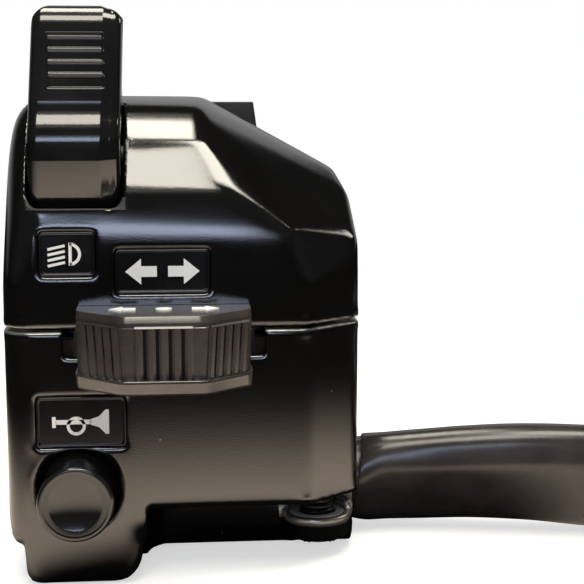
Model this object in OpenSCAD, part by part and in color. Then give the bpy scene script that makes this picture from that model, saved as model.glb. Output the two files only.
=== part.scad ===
// Left-hand handlebar switch cluster: two cast clamp halves round the bar,
// a rocking beam lever, a sliding turn knob, a horn button, a flash trigger
// and a sleeved loom. X runs along the bar towards the middle of the bike,
// -Y faces the rider and Z is up. The origin is on the bar's axis.

/* [Clamp body] */
// Diameter of the handlebar
bar_d = 22.2; // [21.6:0.1:22.6]
// Length of the body along the bar
body_w = 49.6; // [49:0.2:52]
// Bar axis to the rider's face
front_reach = 26; // [25.6:0.2:27]
// Bar axis to the far side
rear_reach = 18.5; // [18:0.25:20]
// Bar axis to the top of the body
top_reach = 31.5; // [30.5:0.25:32.5]
// Bar axis to the underside
bottom_reach = 35.8; // [35:0.2:37]
// Bar axis down to the ledge under the rider's face
ledge_reach = 25.4; // [25:0.2:26.4]
// Depth of the step back under the ledge
ledge_depth = 12; // [11.5:0.25:12.5]
// Radius of the rolled top
roll_r = 19; // [18:0.25:20]
// Thickness of the cast walls
wall = 2.6; // [2.3:0.1:2.9]
// Gap left between the two halves
split_gap = 0.5; // [0.3:0.1:0.7]
// Width of the slope on the right front corner
chamfer_w = 8; // [6:0.25:9]
// Depth of the slope on the right front corner
chamfer_d = 6.5; // [5:0.25:7]

/* [Beam lever] */
// Middle of the lever along the bar
lever_x = -14.05; // [-14.4:0.05:-13.6]
// Width of the lever
lever_w = 12.3; // [11.5:0.1:12.8]
// Radius of the lever's drum
drum_r = 9.2; // [8.9:0.1:9.5]
// Height of the lever's pivot above the bar axis
pivot_z = 23.2; // [22.8:0.1:23.6]
// Depth of the lever's pivot behind the rider's face
pivot_in = 7.3; // [7:0.1:7.8]
// Height of the lever's tip above its pivot
lever_reach = 20.1; // [19:0.1:22]
// Diameter of the hinge pins
pin_d = 3; // [2.6:0.1:3.2]
// Swing of the lever from low beam to high beam, degrees
lever_swing = 20; // [14:1:20]

/* [Turn knob] */
// Middle of the knob along the bar
knob_x = -2.3; // [-2.8:0.1:-1.8]
// Width of the knob
knob_w = 23.3; // [22:0.1:24]
// Width of the knob's middle facet
knob_mid_w = 11; // [9:0.1:12]
// How far the knob stands out of the face
knob_out = 10.2; // [9:0.1:12]
// Height of the knob's ribbed band
knob_h = 6.9; // [6:0.1:7.2]
// Travel of the knob to each side
knob_travel = 3.5; // [2.5:0.1:3.6]
// Ribs on each facet of the knob
knob_ribs = 5; // [4:1:6]

/* [Horn button] */
// Middle of the button along the bar
horn_x = -14.3; // [-14.6:0.1:-14]
// Depth of the button's axis below the bar axis
horn_drop = 22.3; // [22:0.1:22.6]
// Radius of the button
horn_r = 5.1; // [4.7:0.05:5.3]
// Gap round the button
horn_gap = 0.65; // [0.4:0.05:0.8]
// How far the button stands out of the face
horn_out = 7; // [6:0.25:9]
// Travel of the button
horn_travel = 2; // [1.4:0.1:2]

/* [Flash trigger] */
// Left end of the trigger along the bar
trigger_left = -9; // [-10:0.25:-7]
// Right end of the trigger along the bar
trigger_right = 12; // [11:0.1:12.6]
// Height of the trigger's pivot above the bar axis
trigger_z = 16.5; // [16.2:0.1:16.8]
// Trigger's pivot beyond the bar axis
trigger_y = 8; // [7.8:0.1:8.3]
// Height of the trigger's tip above its pivot
trigger_reach = 14.1; // [12:0.1:15]
// Thickness of the trigger's blade
trigger_t = 3; // [2.6:0.1:3.4]
// Swing of the trigger, degrees
trigger_swing = 8; // [5:1:8]

/* [Labels] */
// Thickness of the label plates
label_t = 1; // [0.8:0.1:1.2]
// Width of the beam label
beam_label_w = 7.4; // [6.5:0.1:8]
// Width of the turn label
turn_label_w = 12.7; // [11:0.1:13]
// Width of the horn label
horn_label_w = 12.1; // [11:0.1:13]
// Height of the upper labels
label_h = 6; // [5.2:0.1:6.2]
// Height of the horn label
horn_label_h = 7; // [6:0.1:7.2]

/* [Fasteners and loom] */
// Diameter of the clamp screws
screw_d = 5; // [4.6:0.1:5.2]
// Diameter of the loom's sleeve
sleeve_d = 13.6; // [13:0.1:14]
// Height of the sleeve where it lies pressed flat
sleeve_tall = 17.2; // [15:0.2:17.6]
// Radius of the loom's outer turn
coil_r = 66; // [64:0.5:70]
// Gap between neighbouring turns of the loom
turn_gap = 1.2; // [0.8:0.1:2]
// Diameter of one insulated wire
wire_d = 2; // [1.6:0.1:2.2]

/* [Hidden] */
$fn = 48;

// Clearances: between moving pieces, of a seated piece and of a turning pin
run = 0.3;
seat = 0.02;
pin_run = 0.05;
// How far a cutting shape reaches past what it cuts, long and short
over = 5;
past = 1;

// Body: reference planes and rounding radii
body_mid = 0.5;
left_x = body_mid - body_w / 2;
right_x = body_mid + body_w / 2;
bar_r = bar_d / 2;
ring_r = bar_r + wall;
front_y = -front_reach;
inner_y = front_y + wall;
bar_web = 0.7;
room_back_y = -(ring_r + bar_web);
split_z = split_gap / 2;
strip_y = front_y + ledge_depth;
roll_y = front_y + roll_r;
roll_z = top_reach - roll_r;
corner_r = 4;
chamfer_r = 2.5;
rear_r = 5;
shoulder_r = 5;
ridge_r = 1.2;
end_r = 2.6;
foot_r = 2.4;
corner_steps = 6;
hull_fn = 32;
// Plan of both halves: corner points with their radii
plan = [[left_x, front_y, corner_r], [right_x - chamfer_w, front_y, chamfer_r],
    [right_x, front_y + chamfer_d, chamfer_r], [right_x, rear_reach, rear_r],
    [left_x, rear_reach, rear_r]];
// Height of the straight walls above the parting line
skirt_h = 6;
// Left end of the roll leans in by this much
lean = 0.7;
// Ridge of the flat shoulder: distance from the right end and angle up the roll
ridge_in = [22.1, 22.2, 19, 10.4];
ridge_turn = [90, 43, 19, 1];
ridge = [for (i = [0 : len(ridge_in) - 1]) [right_x - ridge_in[i], ridge_turn[i]]];
// Far edge of the flat shoulder: three points, by distance from the right end and the top
shoulder_in = 3.9;
shoulder_drop = [12.7, 15.6, 20.9];
shoulder_y = [-3.5, -8, front_y + chamfer_d + 1.6];
shoulder = [[right_x - shoulder_in, shoulder_y[0], top_reach - shoulder_drop[0]],
    [right_x - end_r, shoulder_y[1], top_reach - shoulder_drop[1]],
    [right_x - end_r, shoulder_y[2], top_reach - shoulder_drop[2]]];

// Lever
pivot_y = front_y + pivot_in;
pin_r = pin_d / 2;
pin_seat = [0.9, 2.7];
pin_spare = 0.1;
slot_back = 4.8;
slot_rise = 2;
slot_half = lever_w / 2 + run;
drum_edge_r = 1.8;
drum_edge_cut = 0.3;
paddle_front = 7.5;
paddle_back = -0.3;
paddle_r = 2.1;
paddle_low = 4;
paddle_taper = 0.2;
paddle_tilt = 0.3;
sweep_r = 4;
sweep_in = 1;
paddle_edge = 0.8;
pad_off = 0.5;
pad_w = 7.3;
pad_h = 7.2;
pad_deep = 0.6;
pad_drop = 3.7;
pad_ribs = 5;
pad_rib_r = 0.5;
detent_ball_r = 1.3;
detent_r = drum_r - 0.6;
detent_start = 4;
detent_lean = 20;
track_w = 3;
track_rise = 4;
bridge_r = drum_r + 4;
bridge_w = 6;
bridge_t = 1.2;
bridge_root = 3;
bridge_nose_r = 1;
detent_coil_r = 0.85;
detent_wire_r = 0.2;
detent_curls = 5;
bridge_gap = 0.7;
dimmer_base_z = [2, pivot_z - bridge_r - bridge_gap];
dimmer_room_z = pivot_z - 7;
rivet_r = 1.1;
rivet_proud = 0.4;
rivet_tail = 1;

// Turn knob and its slide
knob_front = front_y - knob_out;
knob_back = front_y - run;
knob_side = 4.7;
knob_top_z = 1.85;
knob_top_rise = 1.5;
knob_low_drop = 2.1;
knob_bevel = 2.4;
rib_w = 0.8;
rib_out = 0.5;
slot_top = -split_z;
slot_low = slot_top - 3.55;
neck_half = 9.9;
slot_reach = neck_half + knob_travel + run;
neck_z = [slot_low + run, slot_top - run];
carriage_half = 12.4;
carriage_t = 2.9;
carriage_low = -9;
carriage_y = [inner_y + run, inner_y + run + carriage_t];
carriage_z = [carriage_low, slot_top - run];
room_x = [knob_x - carriage_half - knob_travel - 2.8, knob_x + carriage_half + knob_travel + 0.6];
room_low = -ledge_reach + 2;
plate_t = 0.6;
turn_base_gap = 0.6;
turn_base_t = 2.6;
turn_base_front = carriage_y[1] + plate_t + turn_base_gap;
turn_base_y = [turn_base_front, turn_base_front + turn_base_t];
turn_base_z = [-12.5, -2.5];
contact_z = -6;
contact_half = 5;
plate_end = 1.5;
plate_z = [contact_z - 2, contact_z + 1.6];
contact_proud = [0.3, 0.6];
turn_ball_r = 1.3;
turn_ball_bore = 4;
rail_half = 13.5;
rail_t = 1.85;
rail_gap = 0.15;
rail_top = carriage_low - turn_ball_r - rail_gap;
rail_z = [rail_top - rail_t, rail_top];
notch_deep = 0.7;
notch_gap = 0.1;
carriage_mid = (carriage_y[0] + carriage_y[1]) / 2;
knob_screw_r = 1.1;
knob_screw_l = 6;
knob_screw_spare = 0.3;
knob_screw_head = 1.4;
knob_screw_z = (neck_z[0] + neck_z[1]) / 2;

// Horn button
horn_z = -horn_drop;
horn_hole_r = horn_r + horn_gap;
flange_r = horn_hole_r + 0.75;
flange_y = [inner_y + run, inner_y + run + 1.5];
horn_room_half = flange_r + 0.4;
horn_room_z = [horn_z - horn_room_half - 0.4, horn_z + horn_room_half + 0.4];
horn_room_y = -12.6;
stem_r = 1.5;
horn_base_y = [horn_room_y - 3.4, horn_room_y - 1.9];
stem_end = horn_base_y[0] + 0.8;
washer_r = 2.6;
washer_t = 0.6;
washer_spare = 0.05;
fixed_rim = 0.4;
horn_coil_r = 4.3;
horn_wire_r = 0.35;
horn_curls = 3;
dish_r = 16;
dish_deep = 0.7;
button_round = 0.5;

// Flash trigger
hub_r = 2.6;
trigger_pin_r = 1;
blade_front = 1.2;
blade_lean = 0.4;
blade_slant = 1.3;
blade_rise = hub_r + 2;
blade_foot = [0.9, -0.4];
trigger_seat = 2.4;
trigger_free = 0.84;
blade_pull = blade_front + blade_lean - trigger_reach * sin(trigger_swing);
trigger_wall = [[-2.2, 3.5], [blade_pull - trigger_free, trigger_reach]];
trigger_coil_r = 1.5;
trigger_wire_r = 0.25;
trigger_curls = 5;
trigger_spring_bore = 2.1;
trigger_spring_x = 1.6;
trigger_spring_rise = 5;
trigger_spring_y = [2, trigger_y + 0.3];
leaf_x = [5, 10];
leaf_t = 0.5;
leaf_z = [trigger_z - 2.8, trigger_z + 3.2];

// Clamp screws: front right and rear left
screw_r = screw_d / 2;
screw_gap = 0.25;
screw_hole_r = screw_r + screw_gap;
screw_head_r = screw_r * 1.5;
screw_head_h = 2.4;
screw_top = 7.5;
screw_tip_gap = 0.5;
screw_off = bar_r + screw_r + 0.9;
front_screw = [right_x - 5.5, -screw_off];
rear_screw = [left_x + 9.3, screw_off];
rear_seat = -24;
boss_lip = 1;
driver_r = 1.6;
driver_end = 0.8;
lug_r = screw_r * 2;
lug_h = 4.9;
lug_low = -bottom_reach + 1.6;
lug_top = lug_low + lug_h;
lug_sink = 1;
front_seat = lug_low + lug_sink + screw_head_h;
lug_pocket_r = lug_r - 0.9;
lug_pocket = 0.5;
lug_round = 3;
lug_steps = 5;

// Horn foot and loom duct
foot_x = [left_x + 1.7, left_x + 19.4];
foot_lean = 1;
foot_end_r = 4.5;
ledge_round = 1.2;
strip_round = 4;
foot_low = -bottom_reach;
foot_edge_r = 1.4;
left_low = -31;
left_top = -ledge_reach / 2;
foot_back = strip_y + 2 * foot_r;
foot_top = -ledge_reach + 2 * foot_r;
cove_r = 5;
cove_lift = 1.7;
duct_round = 1;
duct_x = [-12, right_x - 5.8];
duct_y = [strip_y + 3.2, 8];
duct_low = -bottom_reach + 0.4;
duct_z = [duct_low + 1.1, -ring_r - 3.2];
wire_way_x = [-1, room_x[1] - 2];
wire_way_z = [room_low + 0.5, duct_z[1] + 2];
exit_y = -3;
exit_z = -27.5;
sleeve_r = sleeve_d / 2;
neck_r = sleeve_r - 1;
grommet_t = 0.6;
grommet_r = neck_r + grommet_t;
band_x = [duct_x[1] - 6, duct_x[1] - 2];

// Labels: middle of each plate
beam_label_at = [lever_x - 1.15, pivot_z - drum_r - label_h / 2 - 0.65];
turn_label_at = [knob_x - 0.15, knob_top_z + knob_top_rise + label_h / 2 + 1.55];
horn_label_at = [horn_x + 0.55, horn_z + horn_hole_r + horn_label_h / 2 + 0.35];

// Loom: route from inside the duct to the coil, and how flat it lies there
loom_route = [[9, -3, -27.5], [17, -3, -27.5], [25.5, -3, -27.5], [28.5, -3.2, -27.7], [36, -4.4, -27.2],
    [45, -6.2, -26.5], [54, -8, -26.3], [64, -10, -26.7], [78, -12.5, -27.3], [95, -14, -27.7],
    [114, -14, -27.7], [134, -14, -27.7]];
loom_flat = [0, 0, 0, 0, 0.1, 0.3, 0.6, 1, 0.6, 0, 0, 0];
neck_rings = 3;
sleeve_thin = 5.6;
loom_sides = 10;
tie_t = 0.9;
tie_w = 4;
tie_gap = 0.4;
tie_head_y = [3, 9];
tie_head_h = 3;
loom_end = loom_route[len(loom_route) - 1];
coil_centre = [loom_end.x + sleeve_d, loom_end.y + coil_r, loom_end.z];
coil_turn = 360;
coil_rings = 24;
coil_sides = 8;
coil_pitch = sleeve_d + turn_gap;
tail_r = 16;
tail_lead = 2;
tail_turn = 90;
tail_steps = 6;
tail_cols = 3;
tail_rows = 2;
wire_pitch = 2.6;
wire_r = wire_d / 2;
wire_sides = 8;
inner_wire_r = 0.8 * wire_r;
inner_wire_up = [0.3, 0.2, 1];
plug_l = 24;
plug_wall = 1.5;
plug_rim = 3;
latch_x = [3, plug_l - 5];
latch_half = 2.5;
latch_h = 1.4;
terminal_end = 3;
plug_rim_w = 2 * plug_wall + plug_rim;
plug_shell = [plug_l, tail_cols * wire_pitch + plug_rim_w, tail_rows * wire_pitch + plug_rim_w];
terminal_w = 1.4;
terminal_in = 3;
// Wires inside: to the turn base, the horn base and the beam base
switch_routes = [
    [[9, -3, -26], [7, -3, -26], [5, -6, -23], [5, -10, -20.5], [5, -15.3, -17], [5, -15.4, -11]],
    [[9, -5, -28], [5, -5, -28], [-1, -5.5, -27.5], [-5, -8, -25], [-6.6, -9.4, -22.3]],
    [[9, -1, -24.5], [7, -1, -24.5], [3, -5, -21], [1.5, -10, -20], [0.5, -15.3, -17], [0, -15.4, -13]]];

// Geometry helpers
function unit(v) = v / norm(v);
function turned(v, a) = [v.x * cos(a) - v.y * sin(a), v.x * sin(a) + v.y * cos(a)];

// Arc that rounds corner b between a and c
function corner_arc(a, b, c, r) =
    let (u = unit([a.x - b.x, a.y - b.y]), v = unit([c.x - b.x, c.y - b.y]))
    let (half = acos(u * v) / 2, bend = sign(cross(-u, v)))
    let (centre = [b.x, b.y] + unit(u + v) * r / sin(half), first = [b.x, b.y] + u * r / tan(half))
    [for (i = [0 : corner_steps])
        centre + turned(first - centre, bend * (180 - 2 * half) * i / corner_steps)];

// Outline through corner points [x, y, radius]
function rounded(p) =
    [for (i = [0 : len(p) - 1])
        each corner_arc(p[(i + len(p) - 1) % len(p)], p[i], p[(i + 1) % len(p)], p[i][2])];

// Direction of a path at point i, square to the end faces
function heading(path, i) =
    let (n = len(path) - 1)
    unit(path[min(i + 1, n)] - path[max(i - 1, 0)]);

// Rings of an oval tube: halves[i] is its half depth and half height at point i
function tube_points(path, halves, up, sides) =
    [for (i = [0 : len(path) - 1])
        let (t = heading(path, i), s = unit(cross(t, up)), l = cross(s, t))
        for (k = [0 : sides - 1])
            path[i] + s * halves[i][0] * cos(360 * k / sides) + l * halves[i][1] * sin(360 * k / sides)];

function tube_faces(rings, n) = concat(
    [for (i = [0 : rings - 2], k = [0 : n - 1]) [i * n + k, i * n + (k + 1) % n, (i + 1) * n + k]],
    [for (i = [0 : rings - 2], k = [0 : n - 1])
        [(i + 1) * n + k, i * n + (k + 1) % n, (i + 1) * n + (k + 1) % n]],
    [for (k = [1 : n - 2]) [0, k + 1, k]],
    [for (k = [1 : n - 2]) let (e = (rings - 1) * n) [e, e + k, e + k + 1]]);

module oval_tube(path, halves, up, sides) {
    polyhedron(tube_points(path, halves, up, sides), tube_faces(len(path), sides));
}

module round_tube(path, r, up, sides) {
    oval_tube(path, [for (p = path) [r, r]], up, sides);
}

// Spring along Z from z = 0: closed end coils are left out
spring_steps = 8;
spring_sides = 6;
module spring(r, wire, length, curls) {
    steps = spring_steps;
    path = [for (i = [0 : curls * steps])
        [r * cos(360 * i / steps), r * sin(360 * i / steps),
            wire + (length - 2 * wire) * i / (curls * steps)]];
    round_tube(path, wire, [0, 0, 1], spring_sides);
}

module block(x, y, z) {
    translate([x[0], y[0], z[0]]) cube([x[1] - x[0], y[1] - y[0], z[1] - z[0]]);
}

module rod_x(r, x, y, z) {
    translate([x[0], y, z]) rotate([0, 90, 0]) cylinder(r = r, h = x[1] - x[0]);
}

module rod_y(r, x, y, z) {
    translate([x, y[0], z]) rotate([-90, 0, 0]) cylinder(r = r, h = y[1] - y[0]);
}

module rod_z(r, x, y, z) {
    translate([x, y, z[0]]) cylinder(r = r, h = z[1] - z[0]);
}

// Shape drawn in the Y-Z plane, pushed along X
module side_cut(x) {
    translate([x[0], 0, 0]) rotate([90, 0, 90]) linear_extrude(x[1] - x[0]) children();
}

// Shape drawn in the X-Z plane, pushed along Y
module front_cut(y) {
    translate([0, y[1], 0]) rotate([90, 0, 0]) linear_extrude(y[1] - y[0]) children();
}

module label_pocket(at, w, h, gap) {
    block([at.x - w / 2 - gap, at.x + w / 2 + gap], [front_y - over * (gap > 0 ? 1 : 0), front_y + label_t],
        [at.y - h / 2 - gap, at.y + h / 2 + gap]);
}

// Upper half: a rolled top with a flat shoulder on its right
module upper_shell() {
    hull() {
        translate([0, 0, split_z]) linear_extrude(skirt_h) polygon(rounded(plan));
        translate([left_x + lean + shoulder_r, roll_y, roll_z]) rotate([0, 90, 0])
            rotate_extrude($fn = 2 * hull_fn) translate([roll_r - shoulder_r, 0])
                circle(shoulder_r, $fn = hull_fn);
        translate([ridge[0].x - ridge_r, roll_y, roll_z]) rotate([0, 90, 0])
            cylinder(r = roll_r - ridge_r / 3, h = ridge_r, $fn = 2 * hull_fn);
        for (p = ridge)
            translate([p.x, roll_y - (roll_r - ridge_r) * cos(p.y), roll_z + (roll_r - ridge_r) * sin(p.y)])
                sphere(ridge_r, $fn = hull_fn / 2);
        for (p = shoulder)
            translate(p) sphere(end_r, $fn = hull_fn);
    }
}

// Room that the lever's drum and paddle sweep through
module lever_room() {
    x = [lever_x - slot_half, lever_x + slot_half];
    lever_drum(run);
    block(x, [pivot_y - drum_r, pivot_y + slot_back], [pivot_z + slot_rise, top_reach + over]);
    block(x, [inner_y, room_back_y], [0, dimmer_room_z]);
}

// Room behind the trigger's blade, open to the rear
module trigger_room() {
    x = [trigger_left - run, trigger_right + blade_slant + run];
    rod_x(hub_r + run, x, trigger_y, trigger_z);
    side_cut(x) polygon([[trigger_y - hub_r - run, trigger_z], [trigger_y, trigger_z] + trigger_wall[0],
        [trigger_y, trigger_z + over] + trigger_wall[1],
        [rear_reach + over, trigger_z + trigger_reach + over],
        [rear_reach + over, trigger_z - hub_r - run], [trigger_y, trigger_z - hub_r - run]]);
    block([leaf_x[0] - seat, leaf_x[1] + seat], [trigger_y - hub_r - leaf_t - run, trigger_y], leaf_z);
    rod_y(trigger_spring_bore, trigger_spring_x, [trigger_spring_y[0], trigger_y],
        trigger_z + trigger_spring_rise);
}

module upper_housing() {
    color([0.06, 0.06, 0.065]) difference() {
        upper_shell();
        block([-body_w, body_w], [-body_w, body_w], [-body_w, split_z]);
        rod_x(bar_r, [left_x - over, right_x + over], 0, 0);
        lever_room();
        rod_x(pin_r + seat, [lever_x - slot_half - pin_seat[0] - pin_spare,
            lever_x + slot_half + pin_seat[1] + pin_spare], pivot_y, pivot_z);
        // Track of the detent ball, behind the drum
        intersection() {
            rod_x(detent_r + detent_ball_r + run, [lever_x - track_w / 2, lever_x + track_w / 2],
                pivot_y, pivot_z);
            block([lever_x - track_w, lever_x + track_w], [pivot_y, 0],
                [pivot_z - 2 * drum_r, pivot_z + track_rise]);
        }
        label_pocket(beam_label_at, beam_label_w, label_h, seat);
        label_pocket(turn_label_at, turn_label_w, label_h, seat);
        trigger_room();
        rod_x(trigger_pin_r + seat, [trigger_left - run - trigger_seat - pin_spare,
            trigger_right + blade_slant + run + trigger_seat + pin_spare], trigger_y, trigger_z);
        for (s = [front_screw, rear_screw])
            rod_z(screw_r + seat, s.x, s.y, [-over, screw_top]);
    }
}

// Solid part of the lower half, before it is hollowed
module lower_shell() {
    intersection() {
        translate([0, 0, -ledge_reach]) linear_extrude(ledge_reach - split_z) polygon(rounded(plan));
        side_cut([left_x, right_x]) polygon(rounded([[front_y, -ledge_reach, ledge_round],
            [rear_reach, -ledge_reach, ledge_round], [rear_reach, over, ledge_round],
            [front_y, over, ledge_round]]));
    }
    // Left part with its rounded lower edge
    intersection() {
        translate([0, 0, left_low]) linear_extrude(ledge_reach) polygon(rounded(plan));
        front_cut([front_y, rear_reach]) polygon(rounded([[left_x, left_low, corner_r],
            [foot_x[1], left_low, foot_r], [foot_x[1], left_top, foot_r], [left_x, left_top, foot_r]]));
        side_cut([left_x, right_x]) polygon(rounded([[front_y, left_low, corner_r],
            [rear_reach, left_low, rear_r], [rear_reach, left_top, foot_r], [front_y, left_top, foot_r]]));
    }
    // Foot round the horn button
    intersection() {
        translate([0, 0, foot_low]) linear_extrude(left_top - foot_low) polygon(rounded([
            [foot_x[0], front_y, foot_r], [foot_x[1], front_y, foot_r], [foot_x[1], foot_back, foot_r],
            [foot_x[0], foot_back, foot_r]]));
        front_cut([front_y, foot_back]) polygon(rounded([[foot_x[0] + foot_lean, foot_low, foot_r],
            [foot_x[1] - foot_lean, foot_low, foot_end_r], [foot_x[1], foot_top, foot_r],
            [foot_x[0], foot_top, foot_r]]));
        side_cut(foot_x) polygon(rounded([[front_y, foot_low, foot_edge_r], [foot_back, foot_low, foot_r],
            [foot_back, foot_top, foot_r], [front_y, foot_top, foot_r]]));
    }
    // Body of the loom duct, sloped up at the rear
    side_cut([foot_x[0] + foot_r, right_x]) polygon(rounded([[strip_y, duct_low, strip_round],
        [duct_y[1] + wall, duct_low, foot_r], [rear_reach, -ledge_reach + foot_r, foot_r],
        [rear_reach, -ledge_reach + 3 * foot_r, duct_round],
        [strip_y, -ledge_reach + 3 * foot_r, duct_round]]));
    // Hollow that joins the horn foot to the strip
    translate([0, 0, foot_low + cove_lift]) linear_extrude(-ledge_reach - foot_low) difference() {
        translate([foot_x[1] - foot_r, strip_y - cove_r]) square([cove_r + foot_r, cove_r + foot_r]);
        translate([foot_x[1] + cove_r, strip_y - cove_r]) circle(cove_r);
    }
    // Lug of the front screw
    translate([front_screw.x, front_screw.y, lug_low]) rotate_extrude()
        polygon(concat([[0, 0]], [for (i = [0 : lug_steps]) let (a = 90 * i / lug_steps)
            [lug_r - lug_round * (1 - sin(a)), lug_round * (1 - cos(a))]],
            [[lug_r, lug_top - lug_low], [0, lug_top - lug_low]]));
    // Boss of the rear screw
    rod_z(lug_r, rear_screw.x, rear_screw.y, [rear_seat - screw_head_h - boss_lip, -split_z]);
}

module lower_housing() {
    color([0.06, 0.06, 0.065]) difference() {
        lower_shell();
        rod_x(bar_r, [left_x - over, right_x + over], 0, 0);
        // Rooms for the turn slide, the horn button and the loom
        block(room_x, [inner_y, room_back_y], [room_low, 0]);
        block([horn_x - horn_room_half, horn_x + horn_room_half], [inner_y, horn_room_y], horn_room_z);
        block(duct_x, duct_y, duct_z);
        block(wire_way_x, [room_back_y - past, duct_y[0] + past], wire_way_z);
        // Slot of the knob and hole of the button
        block([knob_x - slot_reach, knob_x + slot_reach], [front_y - over, inner_y + over], [slot_low, 0]);
        rod_y(horn_hole_r, horn_x, [front_y - over, inner_y + past], horn_z);
        label_pocket(horn_label_at, horn_label_w, horn_label_h, seat);
        rod_x(grommet_r + seat, [duct_x[1] - past, right_x + over], exit_y, exit_z);
        // Lug pocket and screw holes
        rod_z(lug_pocket_r, front_screw.x, front_screw.y, [lug_top - lug_pocket, lug_top + past]);
        for (s = [[front_screw, front_seat], [rear_screw, rear_seat]]) {
            rod_z(screw_hole_r, s[0].x, s[0].y, [-bottom_reach - over, over]);
            rod_z(screw_head_r + run, s[0].x, s[0].y, [-bottom_reach - over, s[1]]);
        }
    }
}

module clamp_screw(at, seat_z) {
    difference() {
        union() {
            rod_z(screw_r, at.x, at.y, [seat_z, screw_top - screw_tip_gap]);
            rod_z(screw_head_r, at.x, at.y, [seat_z - screw_head_h, seat_z]);
        }
        rod_z(driver_r, at.x, at.y, [seat_z - screw_head_h - past, seat_z - driver_end]);
    }
}

module clamp_screws() {
    color([0.2, 0.2, 0.21]) {
        clamp_screw(front_screw, front_seat);
        clamp_screw(rear_screw, rear_seat);
    }
}

module beam_label() { color([0.03, 0.03, 0.03]) label_pocket(beam_label_at, beam_label_w, label_h, 0); }
module turn_label() { color([0.03, 0.03, 0.03]) label_pocket(turn_label_at, turn_label_w, label_h, 0); }
module horn_label() { color([0.03, 0.03, 0.03]) label_pocket(horn_label_at, horn_label_w, horn_label_h, 0); }

// Beam lever: a drum with a paddle standing on it
module lever_drum(grow) {
    r = drum_r + grow;
    w = lever_w + 2 * grow;
    e = drum_edge_r;
    c = drum_edge_r * drum_edge_cut;
    translate([lever_x - w / 2, pivot_y, pivot_z]) rotate([0, 90, 0]) rotate_extrude()
        polygon([[0, 0], [r - e, 0], [r - c, c], [r, e], [r, w - e], [r - c, w - c], [r - e, w], [0, w]]);
}

module lever_paddle() {
    half = lever_w / 2;
    low = paddle_low - paddle_r;
    translate([lever_x, pivot_y, pivot_z]) intersection() {
        front_cut([-paddle_front, paddle_back]) polygon(rounded([[-half, low, paddle_edge],
            [half, low, paddle_edge], [half + paddle_tilt, lever_reach, paddle_r],
            [-half + paddle_taper, lever_reach, paddle_r]]));
        side_cut([-half, half + paddle_tilt]) polygon(rounded([[-paddle_front, low, paddle_edge],
            [paddle_back, low, paddle_edge], [paddle_back, lever_reach, paddle_r],
            [-paddle_front, lever_reach, paddle_r]]));
        linear_extrude(lever_reach) polygon(rounded([[-half, -paddle_front, paddle_edge],
            [half + paddle_tilt, -paddle_front, paddle_edge], [half + paddle_tilt, paddle_back, paddle_r],
            [-half, paddle_back, paddle_r]]));
    }
}

// Hollow curve from the paddle's face out to the drum
module lever_sweep() {
    half = lever_w / 2 - sweep_in;
    y = -paddle_front - sweep_r;
    z = sqrt(pow(drum_r + sweep_r, 2) - pow(y, 2));
    turn = atan2(z, -y);
    translate([lever_x, pivot_y, pivot_z]) side_cut([-half, half]) polygon(concat([[0, 0], [0, z]],
        [for (i = [0 : corner_steps]) let (a = turn * i / corner_steps)
            [y + sweep_r * cos(a), z - sweep_r * sin(a)]]));
}

// Spring-loaded ball's bore, leaning back and down from the pivot
module detent_place() {
    translate([lever_x, pivot_y, pivot_z]) rotate([-90 - detent_lean, 0, 0]) children();
}

module dimmer_lever() {
    pad_top = pivot_z + lever_reach - pad_drop;
    face_y = pivot_y - paddle_front;
    pad_x = [lever_x + pad_off - pad_w / 2, lever_x + pad_off + pad_w / 2];
    color([0.04, 0.04, 0.045]) {
        difference() {
            union() {
                lever_drum(0);
                lever_paddle();
                lever_sweep();
            }
            block(pad_x, [face_y - over, face_y + pad_deep], [pad_top - pad_h, pad_top]);
            rod_x(pin_r + pin_run, [lever_x - lever_w, lever_x + lever_w], pivot_y, pivot_z);
            detent_place() translate([0, 0, detent_start]) cylinder(r = detent_ball_r + seat, h = drum_r);
            rotate_bridge() block([lever_x - bridge_w / 2 - seat, lever_x + bridge_w / 2 + seat],
                [-bridge_t / 2 - seat, bridge_t / 2 + seat], [-drum_r - past, -drum_r + bridge_root]);
        }
        for (i = [0 : pad_ribs - 1])
            rod_x(pad_rib_r, pad_x, face_y + pad_deep, pad_top - pad_h * (i + 0.5) / pad_ribs);
    }
}

module dimmer_pivot_pin() {
    color([0.7, 0.7, 0.72])
        rod_x(pin_r, [lever_x - slot_half - pin_seat[0], lever_x + slot_half + pin_seat[1]], pivot_y, pivot_z);
}

module dimmer_detent_ball() {
    color([0.75, 0.75, 0.77]) detent_place() translate([0, 0, detent_r]) sphere(detent_ball_r);
}

module dimmer_detent_spring() {
    color([0.7, 0.7, 0.72]) detent_place() translate([0, 0, detent_start])
        spring(detent_coil_r, detent_wire_r, detent_r - detent_ball_r - detent_start, detent_curls);
}

// Contact blade under the drum, half the swing behind straight down
module rotate_bridge() {
    translate([0, pivot_y, pivot_z]) rotate([lever_swing / 2, 0, 0]) children();
}

module dimmer_contact_bridge() {
    color([0.8, 0.62, 0.3]) rotate_bridge() {
        block([lever_x - bridge_w / 2, lever_x + bridge_w / 2], [-bridge_t / 2, bridge_t / 2],
            [-bridge_r + bridge_nose_r, -drum_r + bridge_root]);
        rod_x(bridge_nose_r, [lever_x - bridge_w / 2, lever_x + bridge_w / 2], 0, -bridge_r + bridge_nose_r);
    }
}

function dimmer_contact_y(i) = pivot_y + bridge_r * sin(lever_swing / 2) * i;

module dimmer_contact_base() {
    color([0.36, 0.22, 0.12]) difference() {
        block([lever_x - slot_half, lever_x + slot_half], [inner_y, room_back_y], dimmer_base_z);
        for (i = [-1 : 1])
            rod_z(rivet_r + seat, lever_x, dimmer_contact_y(i),
                [dimmer_base_z[0] - past, dimmer_base_z[1] + past]);
    }
}

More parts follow.
